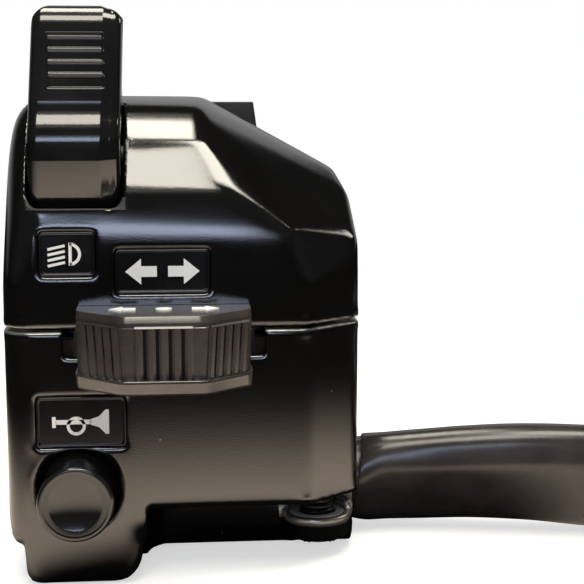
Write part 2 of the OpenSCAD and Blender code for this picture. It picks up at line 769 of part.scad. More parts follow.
module dimmer_fixed_contacts() {
    color([0.8, 0.62, 0.3]) for (i = [-1 : 1])
        rod_z(rivet_r, lever_x, dimmer_contact_y(i),
            [dimmer_base_z[0] - rivet_tail, dimmer_base_z[1] + rivet_proud]);
}

// Turn knob: three ribbed facets, a sloped top and a neck through the slot
module knob_facets(out) {
    polygon([[-knob_w / 2 - out, knob_back], [-knob_w / 2 - out, front_y - knob_side - out / 2],
        [-knob_mid_w / 2, knob_front - out], [knob_mid_w / 2, knob_front - out],
        [knob_w / 2 + out, front_y - knob_side - out / 2], [knob_w / 2 + out, knob_back]]);
}

module knob_body() {
    low = knob_top_z - knob_h;
    translate([knob_x, 0, 0]) hull() {
        translate([0, 0, low]) linear_extrude(knob_h) knob_facets(0);
        translate([0, 0, low - knob_low_drop]) linear_extrude(knob_h + knob_low_drop + knob_top_rise)
            translate([0, knob_bevel]) knob_facets(-knob_bevel / 3);
    }
}

// Ribs stand along one facet from point a to point b
module facet_ribs(a, b) {
    along = unit(b - a);
    for (i = [0 : knob_ribs - 1])
        translate(a + (b - a) * (i + 0.5) / knob_ribs) rotate(atan2(along.y, along.x))
            translate([-rib_w / 2, -rib_out]) square([rib_w, 2 * rib_out]);
}

module turn_knob() {
    low = knob_top_z - knob_h;
    left = [-knob_w / 2, front_y - knob_side];
    mid_left = [-knob_mid_w / 2, knob_front];
    mid_right = [knob_mid_w / 2, knob_front];
    right = [knob_w / 2, front_y - knob_side];
    color([0.16, 0.15, 0.14]) difference() {
        union() {
            intersection() {
                knob_body();
                block([knob_x - knob_w, knob_x + knob_w], [knob_front - over, knob_back],
                    [low - over, knob_top_z + over]);
            }
            translate([knob_x, 0, low]) linear_extrude(knob_h) {
                facet_ribs(left, mid_left);
                facet_ribs(mid_left, mid_right);
                facet_ribs(mid_right, right);
            }
            block([knob_x - neck_half, knob_x + neck_half], [knob_back - past, carriage_y[0]], neck_z);
        }
        rod_y(knob_screw_r + seat, knob_x,
            [carriage_y[0] - knob_screw_l - knob_screw_spare, carriage_y[0] + past], knob_screw_z);
    }
}

module turn_carriage() {
    color([0.3, 0.18, 0.1]) difference() {
        block([knob_x - carriage_half, knob_x + carriage_half], carriage_y, carriage_z);
        rod_y(knob_screw_r + seat, knob_x, [carriage_y[0] - past, carriage_y[1] + past], knob_screw_z);
        rod_z(turn_ball_r + seat, knob_x, carriage_mid, [carriage_z[0] - past, carriage_z[0] + turn_ball_bore]);
    }
}

module turn_carriage_screw() {
    color([0.7, 0.7, 0.72]) {
        rod_y(knob_screw_r, knob_x, [carriage_y[0] - knob_screw_l, carriage_y[1]], knob_screw_z);
        rod_y(knob_screw_r * knob_screw_head, knob_x, [carriage_y[1], carriage_y[1] + plate_t], knob_screw_z);
    }
}

module turn_contact_plate() {
    color([0.8, 0.62, 0.3]) block([knob_x - contact_half - plate_end, knob_x + contact_half + plate_end],
        [carriage_y[1], carriage_y[1] + plate_t], plate_z);
}

module turn_detent_ball() {
    color([0.75, 0.75, 0.77]) translate([knob_x, carriage_mid, carriage_z[0]]) sphere(turn_ball_r);
}

module turn_detent_spring() {
    color([0.7, 0.7, 0.72]) translate([knob_x, carriage_mid, carriage_z[0] + turn_ball_r])
        spring(detent_coil_r, detent_wire_r, turn_ball_bore - turn_ball_r, detent_curls);
}

// Fixed rail under the carriage with a notch for each position
module turn_detent_rail() {
    color([0.55, 0.55, 0.57]) difference() {
        block([knob_x - rail_half, knob_x + rail_half], [inner_y, carriage_y[1]], rail_z);
        for (i = [-1 : 1])
            rod_y(turn_ball_r + notch_gap, knob_x + i * knob_travel, [inner_y - past, carriage_y[1] + past],
                rail_z[1] + turn_ball_r - notch_deep + notch_gap);
    }
}

module turn_contact_base() {
    color([0.36, 0.22, 0.12]) difference() {
        block(room_x, turn_base_y, turn_base_z);
        for (i = [-1 : 1])
            rod_y(rivet_r + seat, knob_x + i * contact_half, [turn_base_y[0] - past, turn_base_y[1] + past],
                contact_z);
    }
}

module turn_fixed_contacts() {
    color([0.8, 0.62, 0.3]) for (i = [-1 : 1])
        rod_y(rivet_r, knob_x + i * contact_half, [turn_base_y[0] - contact_proud[0],
            turn_base_y[1] + contact_proud[1]], contact_z);
}

// Horn button: dished cap, retaining flange and stem
module horn_button() {
    cap = horn_out + flange_y[0] - front_y;
    color([0.03, 0.03, 0.035]) translate([horn_x, flange_y[0], horn_z]) rotate([90, 0, 0]) difference() {
        union() {
            rotate_extrude() polygon([[0, 0], [horn_r, 0], [horn_r, cap - button_round],
                [horn_r - button_round, cap], [0, cap]]);
            translate([0, 0, flange_y[0] - flange_y[1]]) cylinder(r = flange_r, h = flange_y[1] - flange_y[0]);
            translate([0, 0, flange_y[0] - stem_end]) cylinder(r = stem_r, h = stem_end - flange_y[0]);
        }
        translate([0, 0, cap + dish_r - dish_deep]) sphere(dish_r);
    }
}

module horn_contact_washer() {
    y0 = horn_base_y[0] - plate_t - horn_travel - seat - washer_t - washer_spare;
    color([0.8, 0.62, 0.3]) difference() {
        rod_y(washer_r, horn_x, [y0, y0 + washer_t], horn_z);
        rod_y(stem_r + seat, horn_x, [y0 - past, y0 + washer_t + past], horn_z);
    }
}

module horn_spring() {
    color([0.7, 0.7, 0.72]) translate([horn_x, flange_y[1], horn_z]) rotate([-90, 0, 0])
        spring(horn_coil_r, horn_wire_r, horn_base_y[0] - flange_y[1], horn_curls);
}

module horn_contact_base() {
    color([0.36, 0.22, 0.12]) difference() {
        block([horn_x - horn_room_half, horn_x + horn_room_half], horn_base_y, horn_room_z);
        rod_y(stem_r + run, horn_x, [horn_base_y[0] - past, horn_base_y[1] + past], horn_z);
    }
}

module horn_fixed_contact() {
    color([0.8, 0.62, 0.3]) difference() {
        rod_y(washer_r + fixed_rim, horn_x, [horn_base_y[0] - plate_t, horn_base_y[0]], horn_z);
        rod_y(stem_r + run, horn_x, [horn_base_y[0] - plate_t - past, horn_base_y[0] + past], horn_z);
    }
}

// Flash trigger: a hinged blade behind the roll
module pass_trigger() {
    top = trigger_z + trigger_reach;
    knee = trigger_z + blade_rise;
    front = trigger_y + blade_front;
    end = trigger_right + blade_slant;
    color([0.05, 0.05, 0.05]) difference() {
        union() {
            rod_x(hub_r, [trigger_left, end], trigger_y, trigger_z);
            intersection() {
                side_cut([trigger_left, end]) polygon([[trigger_y, trigger_z], [front, knee],
                    [front + blade_lean, top], [front + blade_lean + trigger_t, top], [front + trigger_t, knee],
                    [trigger_y, trigger_z] + hub_r * blade_foot]);
                front_cut([trigger_y - over, rear_reach + over])
                    polygon([[trigger_left - past, trigger_z - over], [end, trigger_z - over], [end, knee],
                        [trigger_right, top], [trigger_left - past, top]]);
            }
        }
        rod_x(trigger_pin_r + pin_run, [trigger_left - past, end + past], trigger_y, trigger_z);
    }
}

module pass_pivot_pin() {
    color([0.7, 0.7, 0.72])
        rod_x(trigger_pin_r, [trigger_left - run - trigger_seat,
            trigger_right + blade_slant + run + trigger_seat], trigger_y, trigger_z);
}

module pass_spring() {
    color([0.7, 0.7, 0.72]) translate([trigger_spring_x, trigger_spring_y[0], trigger_z + trigger_spring_rise])
        rotate([-90, 0, 0])
        spring(trigger_coil_r, trigger_wire_r, trigger_spring_y[1] - trigger_spring_y[0], trigger_curls);
}

module pass_contact_leaf() {
    y = trigger_y - hub_r - leaf_t - run;
    color([0.8, 0.62, 0.3]) block(leaf_x, [y, y + leaf_t], leaf_z);
}

// Loom: rubber grommet, crimped band and sleeve
module cable_grommet() {
    color([0.05, 0.05, 0.05]) difference() {
        rod_x(grommet_r, [duct_x[1], right_x], exit_y, exit_z);
        rod_x(neck_r + pin_run, [duct_x[1] - past, right_x + past], exit_y, exit_z);
    }
}

module cable_band() {
    color([0.7, 0.7, 0.72]) difference() {
        rod_x(grommet_r, band_x, exit_y, exit_z);
        rod_x(neck_r + pin_run, [band_x[0] - past, band_x[1] + past], exit_y, exit_z);
    }
}

function sleeve_half(i) =
    let (r = i < neck_rings ? neck_r : sleeve_r)
    [r + (sleeve_thin - r) * loom_flat[i], r + (sleeve_tall / 2 - r) * loom_flat[i]];

module loom_lead() {
    color([0.05, 0.05, 0.055])
        oval_tube(loom_route, [for (i = [0 : len(loom_route) - 1]) sleeve_half(i)], [0, 0, 1], loom_sides);
}

// Coil: one turn that winds inward, with straight ends one diameter long
function coil_radius(a) = coil_r - coil_pitch * a / 360;
function coil_point(a) =
    coil_centre + coil_radius(a) * [cos(a - 90), sin(a - 90), 0];
coil_steps = ceil(coil_rings * coil_turn / 360);
coil_turns = [for (i = [0 : coil_steps]) coil_point(coil_turn * i / coil_steps)];
coil_out = [cos(coil_turn), sin(coil_turn), 0];
coil_stop = coil_turns[coil_steps] + sleeve_d * coil_out;
coil_path = concat([loom_end], coil_turns, [coil_stop]);
// Least gap of the coil to itself, between points over half a turn apart
coil_gap = min([for (i = [0 : coil_steps], j = [i : coil_steps])
    if (j - i > coil_rings / 2) norm(coil_turns[i] - coil_turns[j])]) - sleeve_d;
echo(coil_gap = coil_gap);

module loom_coil() {
    color([0.05, 0.05, 0.055]) round_tube(coil_path, sleeve_r, [0, 0, 1], coil_sides);
}

// Tie round the two runs that lie side by side
module loom_tie() {
    first = coil_turns[0];
    last = coil_point(360);
    inner = sleeve_r + tie_gap;
    module ring_shape(r) {
        translate([first.y, first.z]) circle(r);
        translate([last.y, last.z]) circle(r);
        translate([first.y, first.z - r]) square([last.y - first.y, 2 * r]);
    }
    color([0.12, 0.12, 0.12]) {
        side_cut([first.x - tie_w / 2, first.x + tie_w / 2]) difference() {
            ring_shape(inner + tie_t);
            ring_shape(inner);
        }
        block([first.x - tie_w, first.x + tie_w], [for (y = tie_head_y) first.y + y],
            [first.z + inner + tie_t / 2, first.z + inner + tie_t + tie_head_h]);
    }
}

// Bare wires that curve out of the sleeve into the plug
tail_left = [-sin(coil_turn), cos(coil_turn), 0];
tail_centre = coil_stop + tail_lead * coil_out + tail_r * tail_left;
function tail_point(a, side, lift) =
    tail_centre + (tail_r - side) * [sin(coil_turn + a), -cos(coil_turn + a), 0] + [0, 0, lift];
function wire_place(i, count) = (i - (count - 1) / 2) * wire_pitch;
plug_turn = coil_turn + tail_turn;
plug_out = [cos(plug_turn), sin(plug_turn), 0];
plug_at = tail_point(tail_turn, 0, 0) + tail_lead * plug_out;

module loom_wires() {
    color([0.45, 0.12, 0.1]) for (c = [0 : tail_cols - 1], r = [0 : tail_rows - 1]) {
        side = wire_place(c, tail_cols);
        lift = wire_place(r, tail_rows);
        arc = [for (i = [0 : tail_steps]) tail_point(tail_turn * i / tail_steps, side, lift)];
        path = concat([arc[0] - tail_lead * coil_out], arc, [arc[tail_steps] + tail_lead * plug_out]);
        round_tube(path, wire_r, [0, 0, 1], wire_sides);
    }
}

module plug_cells(w, from, to) {
    for (c = [0 : tail_cols - 1], r = [0 : tail_rows - 1])
        block([from, to], [wire_place(c, tail_cols) - w / 2, wire_place(c, tail_cols) + w / 2],
            [wire_place(r, tail_rows) - w / 2, wire_place(r, tail_rows) + w / 2]);
}

module loom_plug() {
    color([0.75, 0.74, 0.7]) translate(plug_at) rotate(plug_turn) {
        difference() {
            block([0, plug_shell.x], [-plug_shell.y / 2, plug_shell.y / 2],
                [-plug_shell.z / 2, plug_shell.z / 2]);
            plug_cells(terminal_w + 2 * seat, terminal_in, plug_shell.x + past);
        }
        block(latch_x, [-latch_half, latch_half], [plug_shell.z / 2, plug_shell.z / 2 + latch_h]);
    }
}

module plug_terminals() {
    color([0.8, 0.62, 0.3]) translate(plug_at) rotate(plug_turn)
        plug_cells(terminal_w, terminal_in, plug_shell.x - terminal_end);
}

// Wires inside the body, from the sleeve to each contact base
module switch_wires() {
    color([0.5, 0.4, 0.1]) for (w = switch_routes) round_tube(w, inner_wire_r, inner_wire_up, wire_sides);
}

upper_housing();
lower_housing();
clamp_screws();
beam_label();
turn_label();
horn_label();
dimmer_lever();
dimmer_pivot_pin();
dimmer_detent_ball();
dimmer_detent_spring();
dimmer_contact_bridge();
dimmer_contact_base();
dimmer_fixed_contacts();
turn_knob();
turn_carriage();
turn_carriage_screw();
turn_contact_plate();
turn_detent_ball();
turn_detent_spring();
turn_detent_rail();
turn_contact_base();
turn_fixed_contacts();
horn_button();
horn_contact_washer();
horn_spring();
horn_contact_base();
horn_fixed_contact();
pass_trigger();
pass_pivot_pin();
pass_spring();
pass_contact_leaf();
cable_grommet();
cable_band();
switch_wires();
loom_lead();
loom_coil();
loom_tie();
loom_wires();
loom_plug();
plug_terminals();
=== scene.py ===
"""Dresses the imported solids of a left-hand handlebar switch cluster for a studio picture."""
import math

import bmesh
import bpy
import numpy as np
from bpy.props import FloatProperty, FloatVectorProperty, IntProperty, PointerProperty
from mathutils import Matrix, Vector


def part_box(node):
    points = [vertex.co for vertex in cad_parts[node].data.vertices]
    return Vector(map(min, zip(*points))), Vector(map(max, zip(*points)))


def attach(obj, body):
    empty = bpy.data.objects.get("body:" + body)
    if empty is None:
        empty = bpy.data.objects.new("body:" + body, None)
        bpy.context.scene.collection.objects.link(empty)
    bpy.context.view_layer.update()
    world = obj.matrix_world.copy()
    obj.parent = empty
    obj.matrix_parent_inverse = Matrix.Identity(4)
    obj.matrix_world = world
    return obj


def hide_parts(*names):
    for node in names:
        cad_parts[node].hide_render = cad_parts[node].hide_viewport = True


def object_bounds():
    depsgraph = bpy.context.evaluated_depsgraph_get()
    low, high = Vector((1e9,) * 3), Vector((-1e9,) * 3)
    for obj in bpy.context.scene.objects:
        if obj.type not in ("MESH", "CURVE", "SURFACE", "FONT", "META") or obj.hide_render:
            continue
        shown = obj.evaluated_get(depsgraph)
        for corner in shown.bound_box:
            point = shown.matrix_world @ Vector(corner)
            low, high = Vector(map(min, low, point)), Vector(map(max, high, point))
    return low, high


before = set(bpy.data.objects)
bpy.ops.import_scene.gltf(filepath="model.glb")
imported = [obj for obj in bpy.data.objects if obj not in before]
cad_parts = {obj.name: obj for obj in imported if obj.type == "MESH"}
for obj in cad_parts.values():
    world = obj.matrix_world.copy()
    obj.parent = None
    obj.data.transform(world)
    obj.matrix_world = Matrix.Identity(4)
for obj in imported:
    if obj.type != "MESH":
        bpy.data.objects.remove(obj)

CAD_BOX = [list(corner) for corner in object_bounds()]

bl_info = {
    "name": "Handlebar switch cluster",
    "version": (1, 0, 0),
    "blender": (4, 5, 0),
    "location": "View3D > Sidebar > Cluster",
    "description": "Builds the finished pieces of a handlebar switch cluster round its solids",
    "category": "Object",
}

MM = 0.001
BODY = "housing"
FLOAT, VECTOR = "NodeSocketFloat", "NodeSocketVector"


# Settings that a user may change

def number(label, about, default, **more):
    return FloatProperty(name=label, description=about, default=default, **more)


def length(label, about, default_mm):
    return number(label, about, default_mm * MM, unit="LENGTH", precision=5)


def angle(label, about, degrees):
    return number(label, about, math.radians(degrees), subtype="ANGLE")


def colour(label, about, default):
    return FloatVectorProperty(name=label, description=about, default=default, size=3, subtype="COLOR",
                               min=0, max=1)


class ClusterSizes(bpy.types.PropertyGroup):
    """Sizes of the finished pieces"""
    cast_grain: length("Cast grain", "Cell size of the skin of the cast halves", 0.3)
    fine_grain: length("Fine grain", "Cell size of the skin of small moulded pieces", 0.16)
    lever_left_round: length("Lever left round", "Rounding of the lever's left side", 1.5)
    lever_right_round: length("Lever right round", "Rounding of the lever's right side", 1.5)
    lever_strip: length("Lever strip", "Width of the slope beside the right rounding", 1.1)
    pad_depth: length("Pad depth", "Depth of the thumb pad in the lever", 0.32)
    pad_ridge: length("Pad ridge", "How far a ridge stands out of the thumb pad", 0.2)
    rib_width: length("Rib width", "Width of a rib on the turn knob", 1.3)
    rib_height: length("Rib height", "How far a rib stands out of the turn knob", 0.5)
    knob_ribs: IntProperty(name="Knob ribs", description="Ribs on each facet of the knob", default=5,
                           min=3, max=7)
    knob_round: length("Knob round", "Rounding of the knob's edges", 0.45)
    horn_rim: length("Horn rim", "Width of the flat rim of the horn button", 0.5)
    horn_dish: length("Horn dish", "Depth of the dish in the horn button", 0.55)
    label_rim: length("Label rim", "Width of the raised rim of a label", 0.32)
    label_sink: length("Label sink", "Depth of a label's field below its rim", 0.28)
    mark_height: length("Mark height", "How far a white mark stands above the field", 0.12)
    sleeve_flat: length("Sleeve flat", "How far the flat along the sleeve is drawn in", 0.14)
    sleeve_diameter: length("Sleeve diameter", "Diameter of the loom's sleeve", 13.6)
    wire_diameter: length("Wire diameter", "Diameter of one insulated wire", 2.0)


class ClusterColours(bpy.types.PropertyGroup):
    """Colours of the finishes"""
    paint: colour("Paint", "Black paint of the cast halves", (0.003, 0.0028, 0.0028))
    bare: colour("Bare metal", "Metal where the paint has rubbed off", (0.62, 0.6, 0.56))
    gloss: colour("Gloss plastic", "Lever and horn button", (0.0085, 0.0085, 0.009))
    knob: colour("Knob plastic", "Turn knob", (0.043, 0.036, 0.033))
    trigger: colour("Trigger plastic", "Flash trigger", (0.02, 0.02, 0.02))
    label: colour("Label plastic", "Field of the labels", (0.007, 0.007, 0.0075))
    mark: colour("Marks", "White marks on the labels", (0.88, 0.88, 0.87))
    steel: colour("Steel", "Pins, springs and screws", (0.56, 0.56, 0.57))
    black_steel: colour("Black steel", "Blackened clamp screws", (0.06, 0.06, 0.065))
    brass: colour("Brass", "Contacts", (0.72, 0.5, 0.2))
    phenolic: colour("Phenolic", "Contact bases", (0.16, 0.075, 0.035))
    rubber: colour("Rubber", "Grommet", (0.016, 0.016, 0.016))
    sleeve: colour("Sleeve", "Soft plastic sleeve of the loom", (0.038, 0.034, 0.033))
    nylon: colour("Nylon", "Tie round the coil", (0.025, 0.025, 0.025))
    plug: colour("Plug", "Plug on the end of the loom", (0.62, 0.6, 0.55))


class ClusterStage(bpy.types.PropertyGroup):
    """Camera, floor and lights"""
    focal_px: number("Focal length", "Focal length in pixels of the picture", 1356.3)
    azimuth: angle("Azimuth", "Side angle of the camera", -5)
    elevation: angle("Elevation", "Height angle of the camera", 8)
    distance: length("Distance", "Camera to the point it looks at", 185)
    aim: FloatVectorProperty(name="Aim", description="Point the camera looks at", size=3,
                             subtype="TRANSLATION", default=(0.0151, -0.026, 0.0049))
    floor_colour: colour("Floor", "Pale floor", (0.84, 0.71, 0.6))
    # Glow of the pool of light painted on the floor, seen in what the object mirrors and in the light the
    # floor throws on it
    painted_pool_glow: number("Floor glow", "Light that the floor adds near the object", 0.7)
    warm: colour("Warm light", "Colour of the strips and of the lights on the right", (1.0, 0.955, 0.82))
    cool: colour("Cool light", "Colour of the low front lights", (0.6, 0.68, 0.9))
    plain: colour("Plain light", "Colour of the light behind", (1, 1, 1))
    strip_glow: number("Strip glow", "Brightness of the strip lights", 9.0)
    halo_glow: number("Halo glow", "Brightness round the strip lights", 0.6)
    cool_glow: number("Front glow", "Brightness of the low front lights", 4.2)
    back_glow: number("Back glow", "Brightness of the light behind", 0.6)
    ambient: number("Ambient", "Even light from all round", 0.28)


# Mesh helpers

# A solid's skin: step towards the mean of the neighbours, passes that spread the normals, and the bends in
# degrees up to which the skin is free to move and from which it is held
EASE, SPREAD_PASSES, BEND_FREE, BEND_HELD = 0.5, 8, 9, 17
SOLID_WELD, MARK_WELD = 1e-6, 1e-7
MOST_TRIANGLES = 180000


def link(obj):
    bpy.context.scene.collection.objects.link(obj)
    return obj


def mesh_object(name, points, faces, smooth=True, material=None, weld=0):
    """Object at the origin from points in metres; faces are turned outwards."""
    mesh = bpy.data.meshes.new(name)
    mesh.from_pydata([tuple(p) for p in points], [], [tuple(f) for f in faces])
    bm = bmesh.new()
    bm.from_mesh(mesh)
    if weld:
        bmesh.ops.remove_doubles(bm, verts=bm.verts[:], dist=weld)
    bmesh.ops.recalc_face_normals(bm, faces=bm.faces[:])
    for face in bm.faces:
        face.smooth = smooth
    bm.to_mesh(mesh)
    bm.free()
    if material:
        mesh.materials.append(finish(material))
    return link(bpy.data.objects.new(name, mesh))


def bake(obj):
    """Turns an object's modifiers into a plain mesh."""
    graph = bpy.context.evaluated_depsgraph_get()
    mesh = bpy.data.meshes.new_from_object(obj.evaluated_get(graph), depsgraph=graph)
    obj.modifiers.clear()
    old, obj.data = obj.data, mesh
    mesh.name = obj.name
    bpy.data.meshes.remove(old)
    return obj


def skin(rings, closed=False, wrap=True):
    """Points and faces of a surface through rings with equal point counts, capped unless closed."""
    count, sides = len(rings), len(rings[0])
    points = [p for ring in rings for p in ring]
    faces = []
    for i in range(count if closed else count - 1):
        a, b = i * sides, ((i + 1) % count) * sides
        for k in range(sides if wrap else sides - 1):
            n = (k + 1) % sides
            faces.append((a + k, a + n, b + n, b + k))
    if not closed:
        faces.append(tuple(range(sides))[::-1])
        faces.append(tuple((count - 1) * sides + k for k in range(sides)))
    return points, faces


def lathe(name, profile, centre, axis, sides, material=None):
    """Turned piece: profile holds (radius, height) in millimetres along an axis square to X."""
    centre = np.array(centre) * MM
    axis = np.array(axis, float)
    side = np.array((1.0, 0.0, 0.0))
    lift = np.cross(axis, side)
    points, faces, rings = [], [], []
    for radius, height in profile:
        turns = [2 * math.pi * k / sides for k in range(sides)] if radius > 0 else [0.0]
        rings.append(range(len(points), len(points) + len(turns)))
        points += [centre + axis * (height * MM) + radius * MM * (math.cos(t) * side + math.sin(t) * lift)
                   for t in turns]
    for a, b in zip(rings, rings[1:]):
        for k in range(sides):
            n = (k + 1) % sides
            if len(a) == 1:
                faces.append((a[0], b[n], b[k]))
            elif len(b) == 1:
                faces.append((a[k], a[n], b[0]))
            else:
                faces.append((a[k], a[n], b[n], b[k]))
    return mesh_object(name, points, faces, material=material)


def arc(centre, radius, start, end, count):
    """Points on an arc, angles in degrees."""
    turns = [math.radians(start + (end - start) * i / count) for i in range(count + 1)]
    return [(centre[0] + radius * math.cos(t), centre[1] + radius * math.sin(t)) for t in turns]


def distance_along(points):
    """Distance from the first point of a polyline to each of its points."""
    return np.concatenate([[0], np.cumsum(np.linalg.norm(np.diff(points, axis=0), axis=1))])


def resample(points, step):
    """Even points along a polyline."""
    points = np.array(points, float)
    run = distance_along(points)
    count = max(2, int(round(run[-1] / step)))
    at = np.linspace(0, run[-1], count + 1)
    return np.stack([np.interp(at, run, points[:, k]) for k in range(points.shape[1])], axis=1)


def spline(points, per_span):
    """Smooth open curve through points."""
    p = np.array(points, float)
    p = np.vstack([2 * p[0] - p[1], p, 2 * p[-1] - p[-2]])
    out = []
    for i in range(1, len(p) - 2):
        for t in np.arange(per_span) / per_span:
            a, b, c, d = p[i - 1], p[i], p[i + 1], p[i + 2]
            out.append(0.5 * (2 * b + (c - a) * t + (2 * a - 5 * b + 4 * c - d) * t * t
                              + (3 * b - a - 3 * c + d) * t ** 3))
    out.append(p[-2])
    return np.array(out)


def tube_rings(path, outline):
    """Rings round a path; outline(i) gives the places across and up at its point i."""
    path = np.array(path, float)
    heading = np.gradient(path, axis=0)
    heading /= np.linalg.norm(heading, axis=1)[:, None]
    rings = []
    for i, (p, t) in enumerate(zip(path, heading)):
        across = np.cross(t, (0.0, 0.0, 1.0))
        across /= np.linalg.norm(across)
        up = np.cross(across, t)
        rings.append([p + across * a + up * u for a, u in outline(i)])
    return rings


def smooth_step(low, high, value):
    """0 up to low, 1 from high on, and a smooth rise between; low may be the larger one."""
    t = np.clip((np.asarray(value, float) - low) / (high - low), 0, 1)
    return t * t * (3 - 2 * t)


def between(start, end, value):
    """Rises over the range start and falls again over the range end."""
    return smooth_step(*start, value) * (1 - smooth_step(*end, value))


def read(items, field, wide=3, kind=float):
    """Values of a mesh's points or edges, one row each."""
    values = np.empty(len(items) * wide, kind)
    items.foreach_get(field, values)
    return values.reshape(-1, wide)


def neighbour_mean(values, ends, degree):
    """Mean of each point's neighbours along the edges."""
    out = np.empty_like(values)
    for k in range(values.shape[1]):
        out[:, k] = (np.bincount(ends[:, 0], values[ends[:, 1], k], len(values))
                     + np.bincount(ends[:, 1], values[ends[:, 0], k], len(values)))
    return out / degree[:, None]


def soft_skin(name, node, grain, passes, soften=3):
    """Copy of a solid with a fine even skin: edges softened, broad faces smoothed."""
    bm = bmesh.new()
    bm.from_mesh(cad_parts[node].data)
    bmesh.ops.remove_doubles(bm, verts=bm.verts[:], dist=SOLID_WELD)
    mesh = bpy.data.meshes.new(name)
    bm.to_mesh(mesh)
    bm.free()
    obj = link(bpy.data.objects.new(name, mesh))
    remesh = obj.modifiers.new("skin", "REMESH")
    remesh.mode = "VOXEL"
    remesh.voxel_size = grain
    mesh = bake(obj).data
    at = read(mesh.vertices, "co")
    ends = read(mesh.edges, "vertices", 2, int)
    degree = np.bincount(ends.ravel(), minlength=len(at)).astype(float)

    def settle(times, step):
        for _ in range(times):
            at[:] += step * (neighbour_mean(at, ends, degree) - at)
        mesh.vertices.foreach_set("co", at.ravel())
        mesh.update()

    settle(soften, EASE)
    spread = read(mesh.vertex_normals, "vector")
    for _ in range(SPREAD_PASSES):
        spread = neighbour_mean(spread, ends, degree)
    bend = np.degrees(np.arccos(np.clip(np.linalg.norm(spread, axis=1), 0, 1)))
    settle(passes, EASE * (1 - smooth_step(BEND_FREE, BEND_HELD, bend))[:, None])
    triangles = 2 * len(mesh.polygons)
    if triangles > MOST_TRIANGLES:
        thin = obj.modifiers.new("thin", "DECIMATE")
        thin.ratio = MOST_TRIANGLES / triangles
        bake(obj)
    obj.data.materials.clear()
    obj.data.polygons.foreach_set("use_smooth", [True] * len(obj.data.polygons))
    return obj


def join(name, objects):
    """One object from several plain meshes, keeping their materials."""
    bm = bmesh.new()
    materials = []
    for obj in objects:
        first = len(bm.faces)
        bm.from_mesh(obj.data)
        bm.faces.ensure_lookup_table()
        own = list(obj.data.materials)
        for face in bm.faces[first:]:
            material = own[face.material_index] if own else None
            if material not in materials:
                materials.append(material)
            face.material_index = materials.index(material)
    mesh = bpy.data.meshes.new(name)
    bm.to_mesh(mesh)
    bm.free()
    for material in materials:
        mesh.materials.append(material)
    for obj in objects:
        bpy.data.objects.remove(obj)
    return link(bpy.data.objects.new(name, mesh))


def finish_piece(obj, body, slot, *nodes):
    """Parents a piece to its body's empty and hides the solids it stands for; one without a finish of its own
    takes the one its slot is named after.
    """
    if not obj.data.materials:
        obj.data.materials.append(finish(slot))
    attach(obj, body)
    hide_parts(*nodes)


# Shader helpers

class Nodes:
    """Short way to add nodes to a tree."""

    def __init__(self, tree):
        self.tree = tree

    def add(self, kind, inputs=None, **settings):
        node = self.tree.nodes.new(kind)
        for key, value in settings.items():
            setattr(node, key, value)
        for key, value in (inputs or {}).items():
            self.set(node.inputs[key], value)
        return node

    def set(self, socket, value):
        if isinstance(value, bpy.types.NodeSocket):
            self.tree.links.new(value, socket)
        else:
            socket.default_value = value

    def use(self, tree, **inputs):
        return self.add("ShaderNodeGroup", inputs, node_tree=tree).outputs

    def math(self, operation, a, b=0.0, c=0.0, clamp=False):
        node = self.add("ShaderNodeMath", {0: a, 1: b, 2: c}, operation=operation, use_clamp=clamp)
        return node.outputs[0]

    def vector(self, operation, a, b=(0, 0, 0)):
        return self.add("ShaderNodeVectorMath", {0: a, 1: b}, operation=operation).outputs

    def parts(self, vector):
        return self.add("ShaderNodeSeparateXYZ", {0: vector}).outputs

    def place(self, space="Object"):
        return self.add("ShaderNodeTexCoord").outputs[space]

    def ramp(self, value, low, high):
        return self.add("ShaderNodeMapRange", {"Value": value, "From Min": low, "From Max": high},
                        interpolation_type="SMOOTHSTEP").outputs["Result"]

    def mix(self, factor, a, b):
        node = self.add("ShaderNodeMix", {0: factor}, data_type="RGBA")
        self.set(node.inputs[6], a)
        self.set(node.inputs[7], b)
        return node.outputs[2]

    def choose(self, factor, a, b):
        return self.add("ShaderNodeMix", {0: factor, 2: a, 3: b}, data_type="FLOAT").outputs[0]

    def noise(self, vector, scale, detail, roughness):
        return self.add("ShaderNodeTexNoise", {"Vector": vector, "Scale": scale, "Detail": detail,
                                               "Roughness": roughness}).outputs["Fac"]

    def bump(self, sockets, height, strength, depth):
        node = self.add("ShaderNodeBump", {"Height": height, "Strength": strength, "Distance": depth})
        self.set(sockets["Normal"], node.outputs[0])


def empty_tree(owner):
    """Cleared node tree of a material or a world."""
    owner.use_nodes = True
    owner.node_tree.nodes.clear()
    return Nodes(owner.node_tree)


def rgba(value, share=1.0):
    return (value[0] * share, value[1] * share, value[2] * share, 1.0)


def group(name, build, outputs, **inputs):
    """Shader node group that works on a place; other inputs are numbers or vectors with defaults."""
    tree = bpy.data.node_groups.new(name, "ShaderNodeTree")
    face = tree.interface
    face.new_socket("Vector", in_out="INPUT", socket_type=VECTOR)
    for label, default in inputs.items():
        kind = VECTOR if isinstance(default, tuple) else FLOAT
        face.new_socket(label, in_out="INPUT", socket_type=kind).default_value = default
    for label in outputs:
        face.new_socket(label, in_out="OUTPUT", socket_type=FLOAT)
    nodes = Nodes(tree)
    start = nodes.add("NodeGroupInput")
    end = nodes.add("NodeGroupOutput")
    for label, value in build(nodes, start.outputs).items():
        nodes.set(end.inputs[label], value)
    return tree


def build_specks(n, given):
    """Sparse pale dust: small dots in a few of many cells."""
    cells = n.add("ShaderNodeTexVoronoi", {"Vector": given["Vector"], "Scale": given["Scale"]})
    dot = n.ramp(cells.outputs["Distance"], given["Size"], 0.0)
    chosen = n.add("ShaderNodeSeparateColor", {0: cells.outputs["Color"]}).outputs[0]
    return {"Mask": n.math("MULTIPLY", dot, n.math("GREATER_THAN", chosen, given["Rarity"]))}


